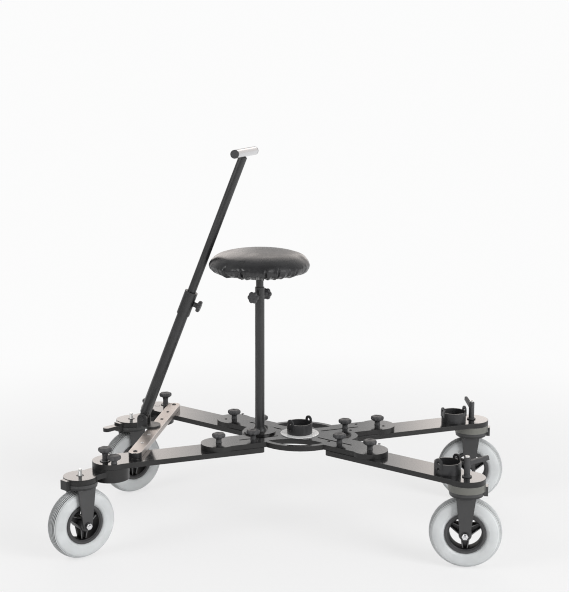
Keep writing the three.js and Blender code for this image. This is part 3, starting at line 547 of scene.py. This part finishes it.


# Rims: moulded black, with a rolled lip each side, a barrel, and three spokes of H section that narrow
# towards the barrel. The hub turns on the axle. The barrel's inner wall and the spokes' sides near it are
# painted near black as painted shade, and the outward faces of the spokes' ribs lighter as a painted
# highlight.
# rim_black is the rim's own colour; the two finishes after it are a darker copy for painted shade and a
# lighter copy for painted highlight.
rim_black = finish("rim_black", (0.060, 0.060, 0.062), 0.40, vary=0.2, bump=0.10, grain=600.0)
rim_recess_shade = finish("rim_recess_shade", (0.008, 0.008, 0.009), 0.6, vary=0.2, bump=0.10, grain=600.0, specular=0.2)
rim_rib_highlight = finish("rim_rib_highlight", (0.16, 0.16, 0.162), 0.35, vary=0.2)
rim_half = [(0.0502, 0.0182), (0.0563, 0.0190), (0.0568, 0.0200), (0.0566, 0.0216), (0.0557, 0.0225),
            (0.0535, 0.0228), (0.0505, 0.0226), (0.0485, 0.0220), (0.0478, 0.0205), (0.0470, 0.0195),
            (0.0455, 0.0188), (0.0446, 0.0150), (0.0440, 0.0080)]
rim_profile = rim_half + [(0.0438, 0.0)] + [(r, -y) for r, y in reversed(rim_half)]
rim_mesh = turned_mesh("rim_barrel", rim_profile, 96, closed=True)
hub_mesh = turned_mesh("rim_hub", [(0.0068, -0.0312), (0.0150, -0.0312), (0.0172, -0.0300), (0.0180, -0.0270),
                                   (0.0180, 0.0270), (0.0172, 0.0300), (0.0150, 0.0312), (0.0068, 0.0312)],
                       48, closed=True)


def spoke_blank():
    """One spoke along +X in the wheel's own plane: two ribs and the web between them."""
    shape = bmesh.new()

    def slab(corners, half_depths):
        """A plate between two outlines, one each side of the wheel's middle plane."""
        rings = []
        for side in (-1, 1):
            rings.append([shape.verts.new((x, y, side * half)) for (x, y), half in zip(corners, half_depths)])
        count = len(corners)
        shape.faces.new(rings[0][::-1])
        shape.faces.new(rings[1])
        for i in range(count):
            j = (i + 1) % count
            shape.faces.new((rings[0][i], rings[0][j], rings[1][j], rings[1][i]))

    inner, outer = 0.0120, 0.0452
    wide, narrow, rib, web = 0.0128, 0.0078, 0.0032, 0.0035
    root_half, tip_half = 0.0165, 0.0120
    slab([(inner, -wide), (outer, -narrow), (outer, narrow), (inner, wide)], [web] * 4)
    for side in (-1, 1):
        corners = [(inner, side * wide), (outer, side * narrow), (outer, side * (narrow - rib)),
                   (inner, side * (wide - rib))]
        slab(corners[::side], [root_half, tip_half, tip_half, root_half][::side])
    bmesh.ops.recalc_face_normals(shape, faces=shape.faces)
    edges = [e for e in shape.edges if e.is_manifold]
    bmesh.ops.bevel(shape, geom=edges, offset=0.0007, segments=2, profile=0.5, affect="EDGES")
    mesh = bpy.data.meshes.new("spoke")
    shape.to_mesh(mesh)
    shape.free()
    return mesh


spoke_tree, spoke_in = geometry_tree("spokes", {"Spokes": 3, "First turn": 0.0, "Plastic": None})
spoke_index = added(spoke_tree, "GeometryNodeInputIndex").outputs[0]
spoke_share = calc(spoke_tree, "DIVIDE", spoke_index, spoke_in.outputs["Spokes"])
spoke_angle = calc(spoke_tree, "ADD", spoke_in.outputs["First turn"],
                   calc(spoke_tree, "MULTIPLY", spoke_share, math.tau))
spoke_euler = added(spoke_tree, "ShaderNodeCombineXYZ", {2: spoke_angle})
spoke_ring = added(spoke_tree, "GeometryNodeMeshLine", {
    "Count": spoke_in.outputs["Spokes"], "Offset": (0, 0, 0),
})
spoke_set = added(spoke_tree, "GeometryNodeInstanceOnPoints", {
    "Points": spoke_ring.outputs[0], "Instance": spoke_in.outputs["Geometry"],
    "Rotation": spoke_euler.outputs[0],
})
finished(spoke_tree, spoke_set.outputs[0], spoke_in.outputs["Plastic"])
spokes_mesh = grown(spoke_blank(), spoke_tree, {
    "Spokes": 3, "First turn": math.radians(90), "Plastic": rim_black,
})


def merged_mesh(name, meshes):
    """Several meshes as one."""
    shape = bmesh.new()
    for mesh in meshes:
        shape.from_mesh(mesh)
    whole = bpy.data.meshes.new(name)
    shape.to_mesh(whole)
    shape.free()
    return whole


wheel_mesh = merged_mesh("rim", (rim_mesh, hub_mesh, spokes_mesh))
rib_from, rib_to, rib_depth, barrel_from, barrel_to = 0.018, 0.0455, 0.0100, 0.030, 0.0462
# Painted shade and highlight: the barrel's inner wall and the spokes' sides take a near-black paint for the
# shade there, and the ribs' outward faces a lighter paint for the light they catch.
for face in wheel_mesh.polygons:
    reach, tilt = face.center.xy.length, abs(face.normal.z)
    rib = rib_from < reach < rib_to and tilt > 0.8 and abs(face.center.z) > rib_depth
    inner = barrel_from < reach < barrel_to and tilt < 0.5
    face.material_index = 2 if rib else 1 if inner else 0
for corner in corner_names:
    mesh = wheel_mesh.copy()
    mesh.transform(wheel_place[corner] @ lay_along_y)
    soften(mesh)
    piece("rim_" + corner + "_skin", mesh, (rim_black, rim_recess_shade, rim_rib_highlight), "wheel_body_" + corner, "rim",
          "rim_" + corner)


# Axles: turned rods of bright steel through the forks' legs and the hubs, with a black washer and an acorn
# nut screwed on at each end.
bright_steel = finish("bright_steel", (0.80, 0.80, 0.81), 0.16, metallic=1.0, vary=0.05, rough_vary=0.08,
                      bump=0.01)
dark_washer = finish("dark_washer", (0.05, 0.05, 0.052), 0.35, metallic=0.6, vary=0.2)
nut_sizes = {"Across flats": 0.016, "Height": 0.0095}
nut_tree, nut_in = geometry_tree("acorn_nut", {**nut_sizes, "Steel": None})
nut_across = nut_in.outputs["Across flats"]
nut_body = added(nut_tree, "GeometryNodeMeshCylinder", {
    "Vertices": 6, "Radius": calc(nut_tree, "MULTIPLY", nut_across, 0.5 / math.cos(math.pi / 6)),
    "Depth": calc(nut_tree, "MULTIPLY", nut_in.outputs["Height"], 0.55),
})
nut_dome = added(nut_tree, "GeometryNodeMeshUVSphere", {
    "Segments": 24, "Rings": 12, "Radius": calc(nut_tree, "MULTIPLY", nut_across, 0.43),
})
nut_pair = added(nut_tree, "GeometryNodeJoinGeometry", {0: nut_body.outputs["Mesh"]})
nut_tree.links.new(nut_dome.outputs["Mesh"], nut_pair.inputs[0])
finished(nut_tree, nut_pair.outputs[0], nut_in.outputs["Steel"])
nut_mesh = grown(bpy.data.meshes.new("no_blank"), nut_tree, {**nut_sizes, "Steel": bright_steel})
nut_seat = 0.0429
rod_mesh = turned_mesh("axle_rod", [(0.0, -0.0400), (0.0060, -0.0400), (0.0060, 0.0400), (0.0, 0.0400)], 32)
washer_mesh = turned_mesh("axle_washer", [(0.0, 0.0384), (0.0106, 0.0384), (0.0110, 0.0388),
                                          (0.0110, 0.0399), (0.0106, 0.0403), (0.0, 0.0403)], 40)
for corner in corner_names:
    steel_parts, dark_parts = [rod_mesh.copy()], []
    for flip in (0, math.pi):
        turn = Matrix.Rotation(flip, 4, "X")
        nut = nut_mesh.copy()
        nut.transform(turn @ Matrix.Translation((0, 0, nut_seat)))
        steel_parts.append(nut)
        washer = washer_mesh.copy()
        washer.transform(turn)
        dark_parts.append(washer)
    for label, parts, paint, stands_for in (("axle", steel_parts, bright_steel, ("axle_" + corner,)),
                                            ("axle_washers", dark_parts, dark_washer, ())):
        mesh = merged_mesh(label, parts)
        mesh.transform(wheel_place[corner] @ lay_along_y)
        soften(mesh)
        piece(label + "_" + corner + "_skin", mesh, (paint,), "fork_body_" + corner, "steel", *stands_for)


# Kingpin studs and bearing rings: the threaded ends of the rear wheels' pins stand up bare in the middle of
# each link's round end, zinc plated. Under each turntable a pressed ring, painted black, holds the bearing.
ring_black = finish("ring_black", (0.030, 0.030, 0.031), 0.4, metallic=0.2, vary=0.2)
zinc = finish("zinc", (0.86, 0.86, 0.85), 0.38, metallic=0.9, vary=0.1, bump=0.03)
stud_foot, stud_top, thread_start, thread_pitch, thread_turns = 0.2290, 0.2549, 0.2363, 0.00115, 16
stud_profile = [(0.0, stud_foot), (0.0046, stud_foot)]
for turn in range(thread_turns):
    stud_profile += [(0.0050, thread_start + turn * thread_pitch),
                     (0.0046, thread_start + (turn + 0.5) * thread_pitch)]
stud_profile += [(0.0042, stud_top), (0.0, stud_top)]
race_profile = [(0.0380, 0.2120), (0.0380, 0.2058), (0.0458, 0.2058), (0.0468, 0.2068), (0.0472, 0.2120)]
kingpin_place = {corner: Matrix.Translation((*place.translation.xy, 0))
                 for corner, place in wheel_place.items()}
for corner in corner_names:
    mesh = turned_mesh("bearing_ring", race_profile, 96, closed=True)
    mesh.transform(kingpin_place[corner])
    soften(mesh, 30)
    piece("bearing_ring_" + corner, mesh, (ring_black,), "fork_body_" + corner, "steel")
for corner in ("rear_near", "rear_far"):
    mesh = turned_mesh("kingpin_stud", stud_profile, 24)
    mesh.transform(kingpin_place[corner])
    soften(mesh, 60)
    piece("kingpin_stud_" + corner, mesh, (zinc,), "fork_body_" + corner, "steel")


# Small bolts and screws: dull hexagon heads along the top of each fork's legs, dark button heads let into the
# hub plate, and bright and dark screws along the cross bar.
dull_zinc = finish("dull_zinc", (0.22, 0.22, 0.22), 0.42, metallic=0.6, vary=0.15, bump=0.03)
screw_black = finish("screw_black", (0.03, 0.03, 0.032), 0.32, metallic=0.7, vary=0.2)
screw_tree, screw_in = geometry_tree("screw_heads", {
    "Sides": 24, "Radius": 0.004, "Height": 0.002, "Socket radius": 0.002, "Tilt X": 0.0, "Metal": None})
screw_sides, screw_radius, screw_height = (screw_in.outputs[key] for key in ("Sides", "Radius", "Height"))
screw_head = added(screw_tree, "GeometryNodeMeshCylinder", {
    "Vertices": screw_sides, "Radius": screw_radius, "Depth": screw_height,
})
screw_cap = added(screw_tree, "GeometryNodeMeshCylinder", {
    "Vertices": screw_sides, "Radius": calc(screw_tree, "MULTIPLY", screw_radius, 0.86),
    "Depth": calc(screw_tree, "MULTIPLY", screw_height, 1.24),
})
screw_socket = added(screw_tree, "GeometryNodeMeshCylinder", {
    "Vertices": 6, "Radius": screw_in.outputs["Socket radius"], "Depth": screw_height,
})
screw_rise = added(screw_tree, "ShaderNodeCombineXYZ", {2: calc(screw_tree, "MULTIPLY", screw_height, 0.45)})
screw_lift = added(screw_tree, "GeometryNodeTransform", {
    "Geometry": screw_socket.outputs[0], "Translation": screw_rise.outputs[0],
})
screw_sum = added(screw_tree, "GeometryNodeMeshBoolean", {"Mesh 2": screw_head.outputs[0]}, operation="UNION")
screw_tree.links.new(screw_cap.outputs[0], screw_sum.inputs["Mesh 2"])
screw_cut = added(screw_tree, "GeometryNodeMeshBoolean", {
    "Mesh 1": screw_sum.outputs[0], "Mesh 2": screw_lift.outputs[0],
}, operation="DIFFERENCE")
screw_turn = added(screw_tree, "ShaderNodeCombineXYZ", {0: screw_in.outputs["Tilt X"]})
screw_set = added(screw_tree, "GeometryNodeInstanceOnPoints", {
    "Points": screw_in.outputs["Geometry"], "Instance": screw_cut.outputs[0],
    "Rotation": screw_turn.outputs[0],
})
finished(screw_tree, screw_set.outputs[0], screw_in.outputs["Metal"])


def screws(name, places, radius, height, metal, body, sides=24, socket=0.5, tilt=0.0, turned=None):
    """Screw heads at those points, all one way up, as one piece on one body."""
    points = bpy.data.meshes.new(name)
    points.from_pydata(places, [], [])
    mesh = grown(points, screw_tree, {"Sides": sides, "Radius": radius, "Height": height,
                                      "Socket radius": radius * socket, "Tilt X": tilt, "Metal": metal})
    if turned:
        mesh.transform(turned)
    soften(mesh, 30)
    piece(name, mesh, (metal,), body, "steel")


hub_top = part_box("hub_plate")[1].z
bar_top = bar_high.z
crown_reach, crown_height_z, crown_pitch = 0.0386, 0.2076, 0.0175
for corner in corner_names:
    for label, way in (("outer", -1), ("inner", 1)):
        spots = [(x * crown_pitch, way * crown_reach, crown_height_z) for x in (-1, 0, 1)]
        screws("crown_bolts_" + label + "_" + corner, spots, 0.0037, 0.0030, dull_zinc, "fork_body_" + corner,
               sides=6, socket=0.30, tilt=math.radians(-90 * way),
               turned=kingpin_place[corner] @ Matrix.Rotation(wheel_turn[corner], 4, "Z"))
hub_screws_mm = [(155, 123), (145, 57), (144, -19), (94, -65), (241, -70), (238, 116), (-202, 180),
                 (-243, 118)]
screws("hub_screws", [(x / 1000 + hub_centre.x, y / 1000 + hub_centre.y, hub_top + 0.0002)
                      for x, y in hub_screws_mm], 0.0042, 0.0014, screw_black, "chassis")
bar_x = (bar_low.x + bar_high.x) / 2
bolt_reach = 0.435 * math.tan(arm_turn)
for name, across, lift, radius, height, metal in (
    ("bar_screws_bright", (-0.168, -0.085), 0.0003, 0.0052, 0.0020, zinc),
    ("bar_screws_dark", (0.081, 0.162), 0.0002, 0.0048, 0.0018, screw_black),
    ("bar_end_bolts", (-bolt_reach, bolt_reach), 0.0003, 0.0062, 0.0024, screw_black),
):
    screws(name, [(bar_x, hub_centre.y + y, bar_top + lift) for y in across], radius, height, metal,
           "chassis")


# Star knobs: moulded black plastic with six soft lobes, a flared neck and a steel stud moulded in. The four
# on the rear arms' ends come in a tall and a low length, and the tall ones stand on a dull washer.
knob_black = finish("knob_black", (0.072, 0.072, 0.075), 0.50, vary=0.15, bump=0.14, grain=520.0, speck=0.02)
lobe_count, lobe_depth, lobe_from, lobe_to = 6, 0.14, 0.0095, 0.0165
lobe_tree, lobe_in = geometry_tree("star_lobes", {
    "Lobes": lobe_count, "Depth": lobe_depth, "From": lobe_from, "To": lobe_to, "Plastic": None})
lobe_place = added(lobe_tree, "GeometryNodeInputPosition").outputs[0]
lx, ly = added(lobe_tree, "ShaderNodeSeparateXYZ", {0: lobe_place}).outputs[:2]
lobe_turn = calc(lobe_tree, "MULTIPLY", calc(lobe_tree, "ARCTAN2", ly, lx), lobe_in.outputs["Lobes"])
lobe_wave = calc(lobe_tree, "ADD", calc(lobe_tree, "COSINE", lobe_turn), 1.0)
lobe_wave = calc(lobe_tree, "POWER", calc(lobe_tree, "MULTIPLY", lobe_wave, 0.5), 2.0)
lobe_dip = calc(lobe_tree, "MULTIPLY", lobe_wave, lobe_in.outputs["Depth"])
lobe_far = calc(lobe_tree, "ADD", calc(lobe_tree, "MULTIPLY", lx, lx), calc(lobe_tree, "MULTIPLY", ly, ly))
lobe_zone = spread(lobe_tree, calc(lobe_tree, "SQRT", lobe_far), lobe_in.outputs["From"],
                   lobe_in.outputs["To"], 0.0, 1.0)
lobe_scale = calc(lobe_tree, "MULTIPLY", calc(lobe_tree, "MULTIPLY", lobe_dip, lobe_zone), -1.0)
lobe_offset = added(lobe_tree, "ShaderNodeCombineXYZ", {
    0: calc(lobe_tree, "MULTIPLY", lx, lobe_scale), 1: calc(lobe_tree, "MULTIPLY", ly, lobe_scale),
})
lobe_shift = added(lobe_tree, "GeometryNodeSetPosition", {
    "Geometry": lobe_in.outputs["Geometry"], "Offset": lobe_offset.outputs[0],
})
finished(lobe_tree, lobe_shift.outputs[0], lobe_in.outputs["Plastic"])


def star_knob(neck, scale):
    """A star knob that stands on Z = 0, its neck that high and its head 39 mm wide times the scale."""
    line = smooth_line([(0.0090, 0.0), (0.0084, neck * 0.15), (0.0080, neck * 0.55), (0.0096, neck * 0.88),
                        (0.0135, neck + 0.0002)], 4)
    head = smooth_line([(0.0170, neck + 0.0006), (0.0188, neck + 0.0026), (0.0195, neck + 0.0055),
                        (0.0194, neck + 0.0088), (0.0182, neck + 0.0114), (0.0155, neck + 0.0126),
                        (0.0110, neck + 0.0130), (0.0075, neck + 0.0130)], 4)
    recess = [(0.0066, neck + 0.0126), (0.0060, neck + 0.0121), (0.0, neck + 0.0121)]
    profile = [(0.0, 0.0)] + [(r * scale, z if z <= neck else neck + (z - neck) * scale)
                              for r, z in line + head + recess]
    return grown(turned_mesh("star_knob", profile, 72), lobe_tree, {
        "Lobes": lobe_count, "Depth": lobe_depth, "From": lobe_from * scale, "To": lobe_to * scale,
        "Plastic": knob_black,
    })


neck_full, neck_tall, neck_low, neck_side = 0.0145, 0.02646, 0.01134, 0.0105
side_scale, knob_gap = 0.9, 0.0003
arm_reach, outer_share, inner_share, inner_offset = 0.573, 0.44, 0.257, 0.003
hub_rise = Vector((0, 0, hub_top + knob_gap))
knob_stand = {}
for corner, angle in (("front_near", -29.8), ("front_far", 29.8), ("rear_near", 209.8), ("rear_far", 150.2)):
    turn = math.radians(angle)
    out = Vector((math.cos(turn), math.sin(turn), 0))
    side = Vector((-math.sin(turn), math.cos(turn), 0)) * math.copysign(1, math.sin(turn) * math.cos(turn))
    for label, spot in (("outer", hub_centre + out * arm_reach * outer_share),
                        ("inner", hub_centre + out * arm_reach * inner_share + side * inner_offset)):
        knob_stand["knob_" + label + "_" + corner] = (
            neck_full, 1.0, Matrix.Translation(spot + hub_rise) @ Matrix.Rotation(turn * 3, 4, "Z"))
arm_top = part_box("arm_rear_near")[1].z
rear_end = Vector((-0.49724, 0.28477, 0))
for name, neck, x, y, flip in (("knob_end_near_tall", neck_tall, -0.012, -0.014, -1),
                               ("knob_end_near_low", neck_low, 0.019, -0.034, -1),
                               ("knob_end_far_tall", neck_tall, 0.023, 0.017, 1),
                               ("knob_end_far_low", neck_low, -0.027, -0.009, 1)):
    spot = hub_centre + Vector((rear_end.x + x, flip * rear_end.y + y, arm_top + knob_gap))
    knob_stand[name] = (neck, 1.0, Matrix.Translation(spot) @ Matrix.Rotation(x * 40, 4, "Z"))
seat_x, seat_y = hub_centre.x - 0.119, hub_centre.y
seat_knob_height, seat_knob_reach = 0.682, 0.0193
lay_along_x = Matrix.Rotation(math.radians(90), 4, "Y")
for name, angle in (("knob_seat_near", 247), ("knob_seat_far", 67)):
    turn = math.radians(angle)
    spot = Vector((seat_x + seat_knob_reach * math.cos(turn), seat_y + seat_knob_reach * math.sin(turn),
                   seat_knob_height))
    knob_stand[name] = (neck_side, side_scale,
                        Matrix.Translation(spot) @ Matrix.Rotation(turn, 4, "Z") @ lay_along_x)
lean = math.radians(21.2)
handle_foot = Vector((hub_centre.x - 0.471, hub_centre.y, 0.3018))
sleeve_side, sleeve_height = 0.0198, 0.38115
knob_stand["knob_handle"] = (neck_side, side_scale, Matrix.Translation(handle_foot)
                             @ Matrix.Rotation(lean, 4, "Y")
                             @ Matrix.Translation((sleeve_side, 0, sleeve_height)) @ lay_along_x)
body_of_knob = {names[0]: body for body, names in frame["record"]["behaviour"]["bodies"].items()
                if names[0].startswith("knob_")}
washer_profile = [(0.0, 0.0), (0.0150, 0.0), (0.0152, 0.0004), (0.0152, 0.0016), (0.0148, 0.0020),
                  (0.0, 0.0020)]
for name, (neck, scale, place) in knob_stand.items():
    mesh = star_knob(neck, scale)
    mesh.transform(place)
    soften(mesh, 50)
    piece(name + "_skin", mesh, (knob_black,), body_of_knob[name], "knob", name)
    if name.endswith("_tall"):
        washer = turned_mesh("knob_washer", washer_profile, 48)
        washer.transform(place)
        soften(washer)
        piece(name + "_washer", washer, (dull_zinc,), body_of_knob[name], "steel")


# Clamping levers of the front wheels: moulded black, a round post with a tapered grip that rises a little,
# and a bright screw in the top.
for side in ("near", "far"):
    node = "lever_front_" + side
    dressed(node, (knob_black, knob_black), 0.0016, steps=3)
    post_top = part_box(node)[1].z
    pin_low, pin_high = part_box("fork_front_" + side)
    middle = (pin_low + pin_high) / 2
    screws("lever_screw_" + side, [(middle.x, middle.y, post_top + 0.0004)], 0.0062, 0.0030, zinc,
           "lever_body_front_" + side)


# Cups for a tripod's feet: welded from tube and plate, painted satin black, with an ear on each side for a
# strap.
cup_black = finish("cup_black", (0.045, 0.045, 0.047), 0.36, metallic=0.15, vary=0.25, bump=0.08, grain=420.0)
cup_edge = finish("cup_edge", (0.13, 0.13, 0.13), 0.3, metallic=0.5, vary=0.3)
for node in ("cup_centre", "cup_front_near", "cup_front_far"):
    dressed(node, (cup_black, cup_edge), 0.0008)


# Handle foot and tubes: a round foot plate with two cheeks and a pin, and two steel tubes, all painted black,
# the thin tube sliding in the thick one under a turned clamp sleeve.
tube_black = finish("tube_black", (0.018, 0.018, 0.019), 0.42, vary=0.25, bump=0.05, grain=500.0, speck=0.05,
                    smudge=12.0, specular=0.9)
tube_edge = finish("tube_edge", (0.10, 0.10, 0.10), 0.3, metallic=0.4, vary=0.3)
for node in ("handle_bracket", "handle_pin", "handle_lower_tube", "handle_upper_tube"):
    dressed(node, (tube_black, tube_edge), 0.0009)


# Cross grip: a piece of drawn aluminium tube across the top of the thin tube, with a black plug pressed into
# each end.
grip_metal = drawn_metal("grip_metal", (0.64, 0.64, 0.65), 0.26, strength=0.06)
dressed("handle_grip", (grip_metal, grip_metal), 0.0004)
for side in ("near", "far"):
    dressed("handle_cap_" + side, (knob_black, knob_black), 0.0012)


# Seat post: a painted steel tube on a round flange, with a sliding inner tube and the plate under the
# cushion.
flange_thickness = 0.006
flange_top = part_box("seat_post")[0].z + flange_thickness


def post_paint(face):
    """The flange at the foot of the post is in the finish of the plates."""
    return 1 if face.calc_center_median().z < flange_top else 0


for node in ("seat_post", "seat_inner_post", "seat_pan"):
    dressed(node, (tube_black, plate_black, tube_edge), 0.0009, pick=post_paint)


# Seat cushion: a round foam pad under a loose cover of soft black leathercloth. The cover has no seam on top;
# its edge is drawn in under the pad by an elastic, which throws it into small uneven pleats.
seat_radius, seat_low, seat_high = 0.148, 0.750, 0.8195
leather = finish("leather", (0.018, 0.018, 0.0195), 0.31, vary=0.2, rough_vary=0.10, bump=0.0, smudge=14.0,
                 specular=0.6, coat=0.25, coat_roughness=0.45)
leather_tree = leather.node_tree
leather_place = added(leather_tree, "ShaderNodeTexCoord").outputs["Object"]
pebble = added(leather_tree, "ShaderNodeTexVoronoi", {
    "Vector": leather_place, "Scale": 620.0, "Smoothness": 0.6,
}, feature="SMOOTH_F1").outputs["Distance"]
crease = noise(leather_tree, leather_place, 38.0, 6.0, 0.62)
leather_relief = added(leather_tree, "ShaderNodeBump", {
    "Strength": 0.20, "Distance": 0.0006, "Height": calc(leather_tree, "MULTIPLY_ADD", crease, 1.1, pebble),
})
fitted(leather_tree, leather_tree.nodes["Principled BSDF"], {"Normal": leather_relief.outputs[0]})

pad_radius, pad_foot, pad_height, pad_hollow, pad_top = 0.142, 0.009, 0.054, 0.016, 0.063
pad_line = [(0.84, 0.07), (0.91, 0.0), (0.955, 0.06), (0.985, 0.16), (1.0, 0.29), (0.988, 0.43),
            (0.945, 0.565), (0.86, 0.69), (0.74, 0.79), (0.57, 0.885), (0.37, 0.952), (0.18, 0.988)]
pad_profile = [(pad_radius * r, seat_low + pad_foot + pad_height * z) for r, z in pad_line]
pad_profile = [(0.0, seat_low + pad_hollow)] + pad_profile + [(0.0, seat_low + pad_top)]
pad_start = turned_mesh("cushion_start", pad_profile, 96)
pad_start.transform(Matrix.Translation((seat_x, seat_y, 0)))
pad = modified(pad_start, "REMESH", mode="VOXEL", voxel_size=0.006)
swell_cap = 0.006
before = [v.co.copy() for v in pad.vertices]
blown = bpy.data.objects.new("blown_pad", pad)
bpy.context.scene.collection.objects.link(blown)
bpy.context.view_layer.objects.active = blown
cloth = blown.modifiers.new("cloth", "CLOTH")
for key, value in (("quality", 5), ("mass", 0.3), ("tension_stiffness", 15),
                   ("compression_stiffness", 15), ("bending_stiffness", 0.5), ("use_pressure", True),
                   ("uniform_pressure_force", 4.0)):
    setattr(cloth.settings, key, value)
cloth.settings.effector_weights.gravity = 0
cloth.point_cache.frame_start = 1
cloth.point_cache.frame_end = 20
for number in range(1, 21):
    bpy.context.scene.frame_set(number)
pad = bpy.data.meshes.new_from_object(blown.evaluated_get(bpy.context.evaluated_depsgraph_get()))
bpy.data.objects.remove(blown)
bpy.context.scene.frame_set(1)
for vertex, start in zip(pad.vertices, before):
    move = vertex.co - start
    if move.length > swell_cap:
        vertex.co = start + move.normalized() * swell_cap

cover = bmesh.new()
cover.from_mesh(pad)
bmesh.ops.recalc_face_normals(cover, faces=cover.faces)
heights = sorted(v.co.z for v in cover.verts)
taut = [v for v in cover.verts if v.co.z > heights[0] + 0.45 * (heights[-1] - heights[0])]
for drawn in [taut] * 8 + [cover.verts]:
    bmesh.ops.smooth_vert(cover, verts=drawn, factor=0.5, use_axis_x=True, use_axis_y=True, use_axis_z=True)
low_z = min(v.co.z for v in cover.verts)
high_z = max(v.co.z for v in cover.verts)
far_r = max(math.hypot(v.co.x - seat_x, v.co.y - seat_y) for v in cover.verts)
for v in cover.verts:
    v.co.x = seat_x + (v.co.x - seat_x) * seat_radius / far_r
    v.co.y = seat_y + (v.co.y - seat_y) * seat_radius / far_r
    v.co.z = seat_low + (v.co.z - low_z) / (high_z - low_z) * (seat_high - seat_low)
cover.to_mesh(pad)
cover.free()
fine = modified(pad, "SUBSURF", levels=2, render_levels=2)

pleat_random = random.Random(7)
pleats = [(math.radians(at), depth, 0.030, reach_up) for at, depth, reach_up in (
    (235.3, 1.1, 0.62), (258.3, 1.3, 0.60), (286.3, 1.2, 0.55), (301.3, 1.1, 0.62), (314.3, 0.9, 0.50))]
turn_at = 0.0
while turn_at < math.tau - 0.10:
    pleats.append((turn_at + pleat_random.uniform(-0.03, 0.03), pleat_random.uniform(0.25, 0.75),
                   pleat_random.uniform(0.026, 0.046), pleat_random.uniform(0.34, 0.60)))
    turn_at += pleat_random.uniform(0.17, 0.36)
pleat_sink, pleat_swell, pleat_sag, pleat_lift = 0.0085, 0.0036, 0.0036, 0.0030
pleat_start, pleat_run, pleat_ceiling = 0.100, 0.030, 0.75


def across_pleat(gap, width, shift, sharpness):
    """A rounded bump across one pleat, from 0 to 1."""
    return math.exp(-((gap + width * shift) / width) ** 2 * sharpness)


for v in fine.vertices:
    x, y = v.co.x - seat_x, v.co.y - seat_y
    reach, turn = math.hypot(x, y), math.atan2(y, x) % math.tau
    rise = (v.co.z - seat_low) / (seat_high - seat_low)
    edge = min(1.0, max(0.0, (reach - pleat_start) / pleat_run))
    if edge <= 0 or rise > pleat_ceiling:
        continue
    push = drop = 0.0
    for at, depth, width, reach_up in pleats:
        gap = (turn - at + math.pi) % math.tau - math.pi
        if abs(gap) > width * 5:
            continue
        fade = max(0.0, 1 - rise / reach_up)
        fade = fade * fade * (3 - 2 * fade)
        push += depth * fade * (pleat_swell * across_pleat(gap, width, 1.5, 2.4)
                                - pleat_sink * across_pleat(gap, width, 0, 3.0))
        drop += depth * fade * (pleat_sag * across_pleat(gap, width, 1.6, 1.6)
                                - pleat_lift * across_pleat(gap, width, 0, 2.0))
    scale = 1 + edge * push / reach
    v.co.x, v.co.y = seat_x + x * scale, seat_y + y * scale
    v.co.z = max(seat_low + 0.0005, v.co.z - edge * drop)
soften(fine, 180)
cushion = piece("seat_cushion_cover", fine, (leather,), "seat_body", "leather", "seat_cushion")
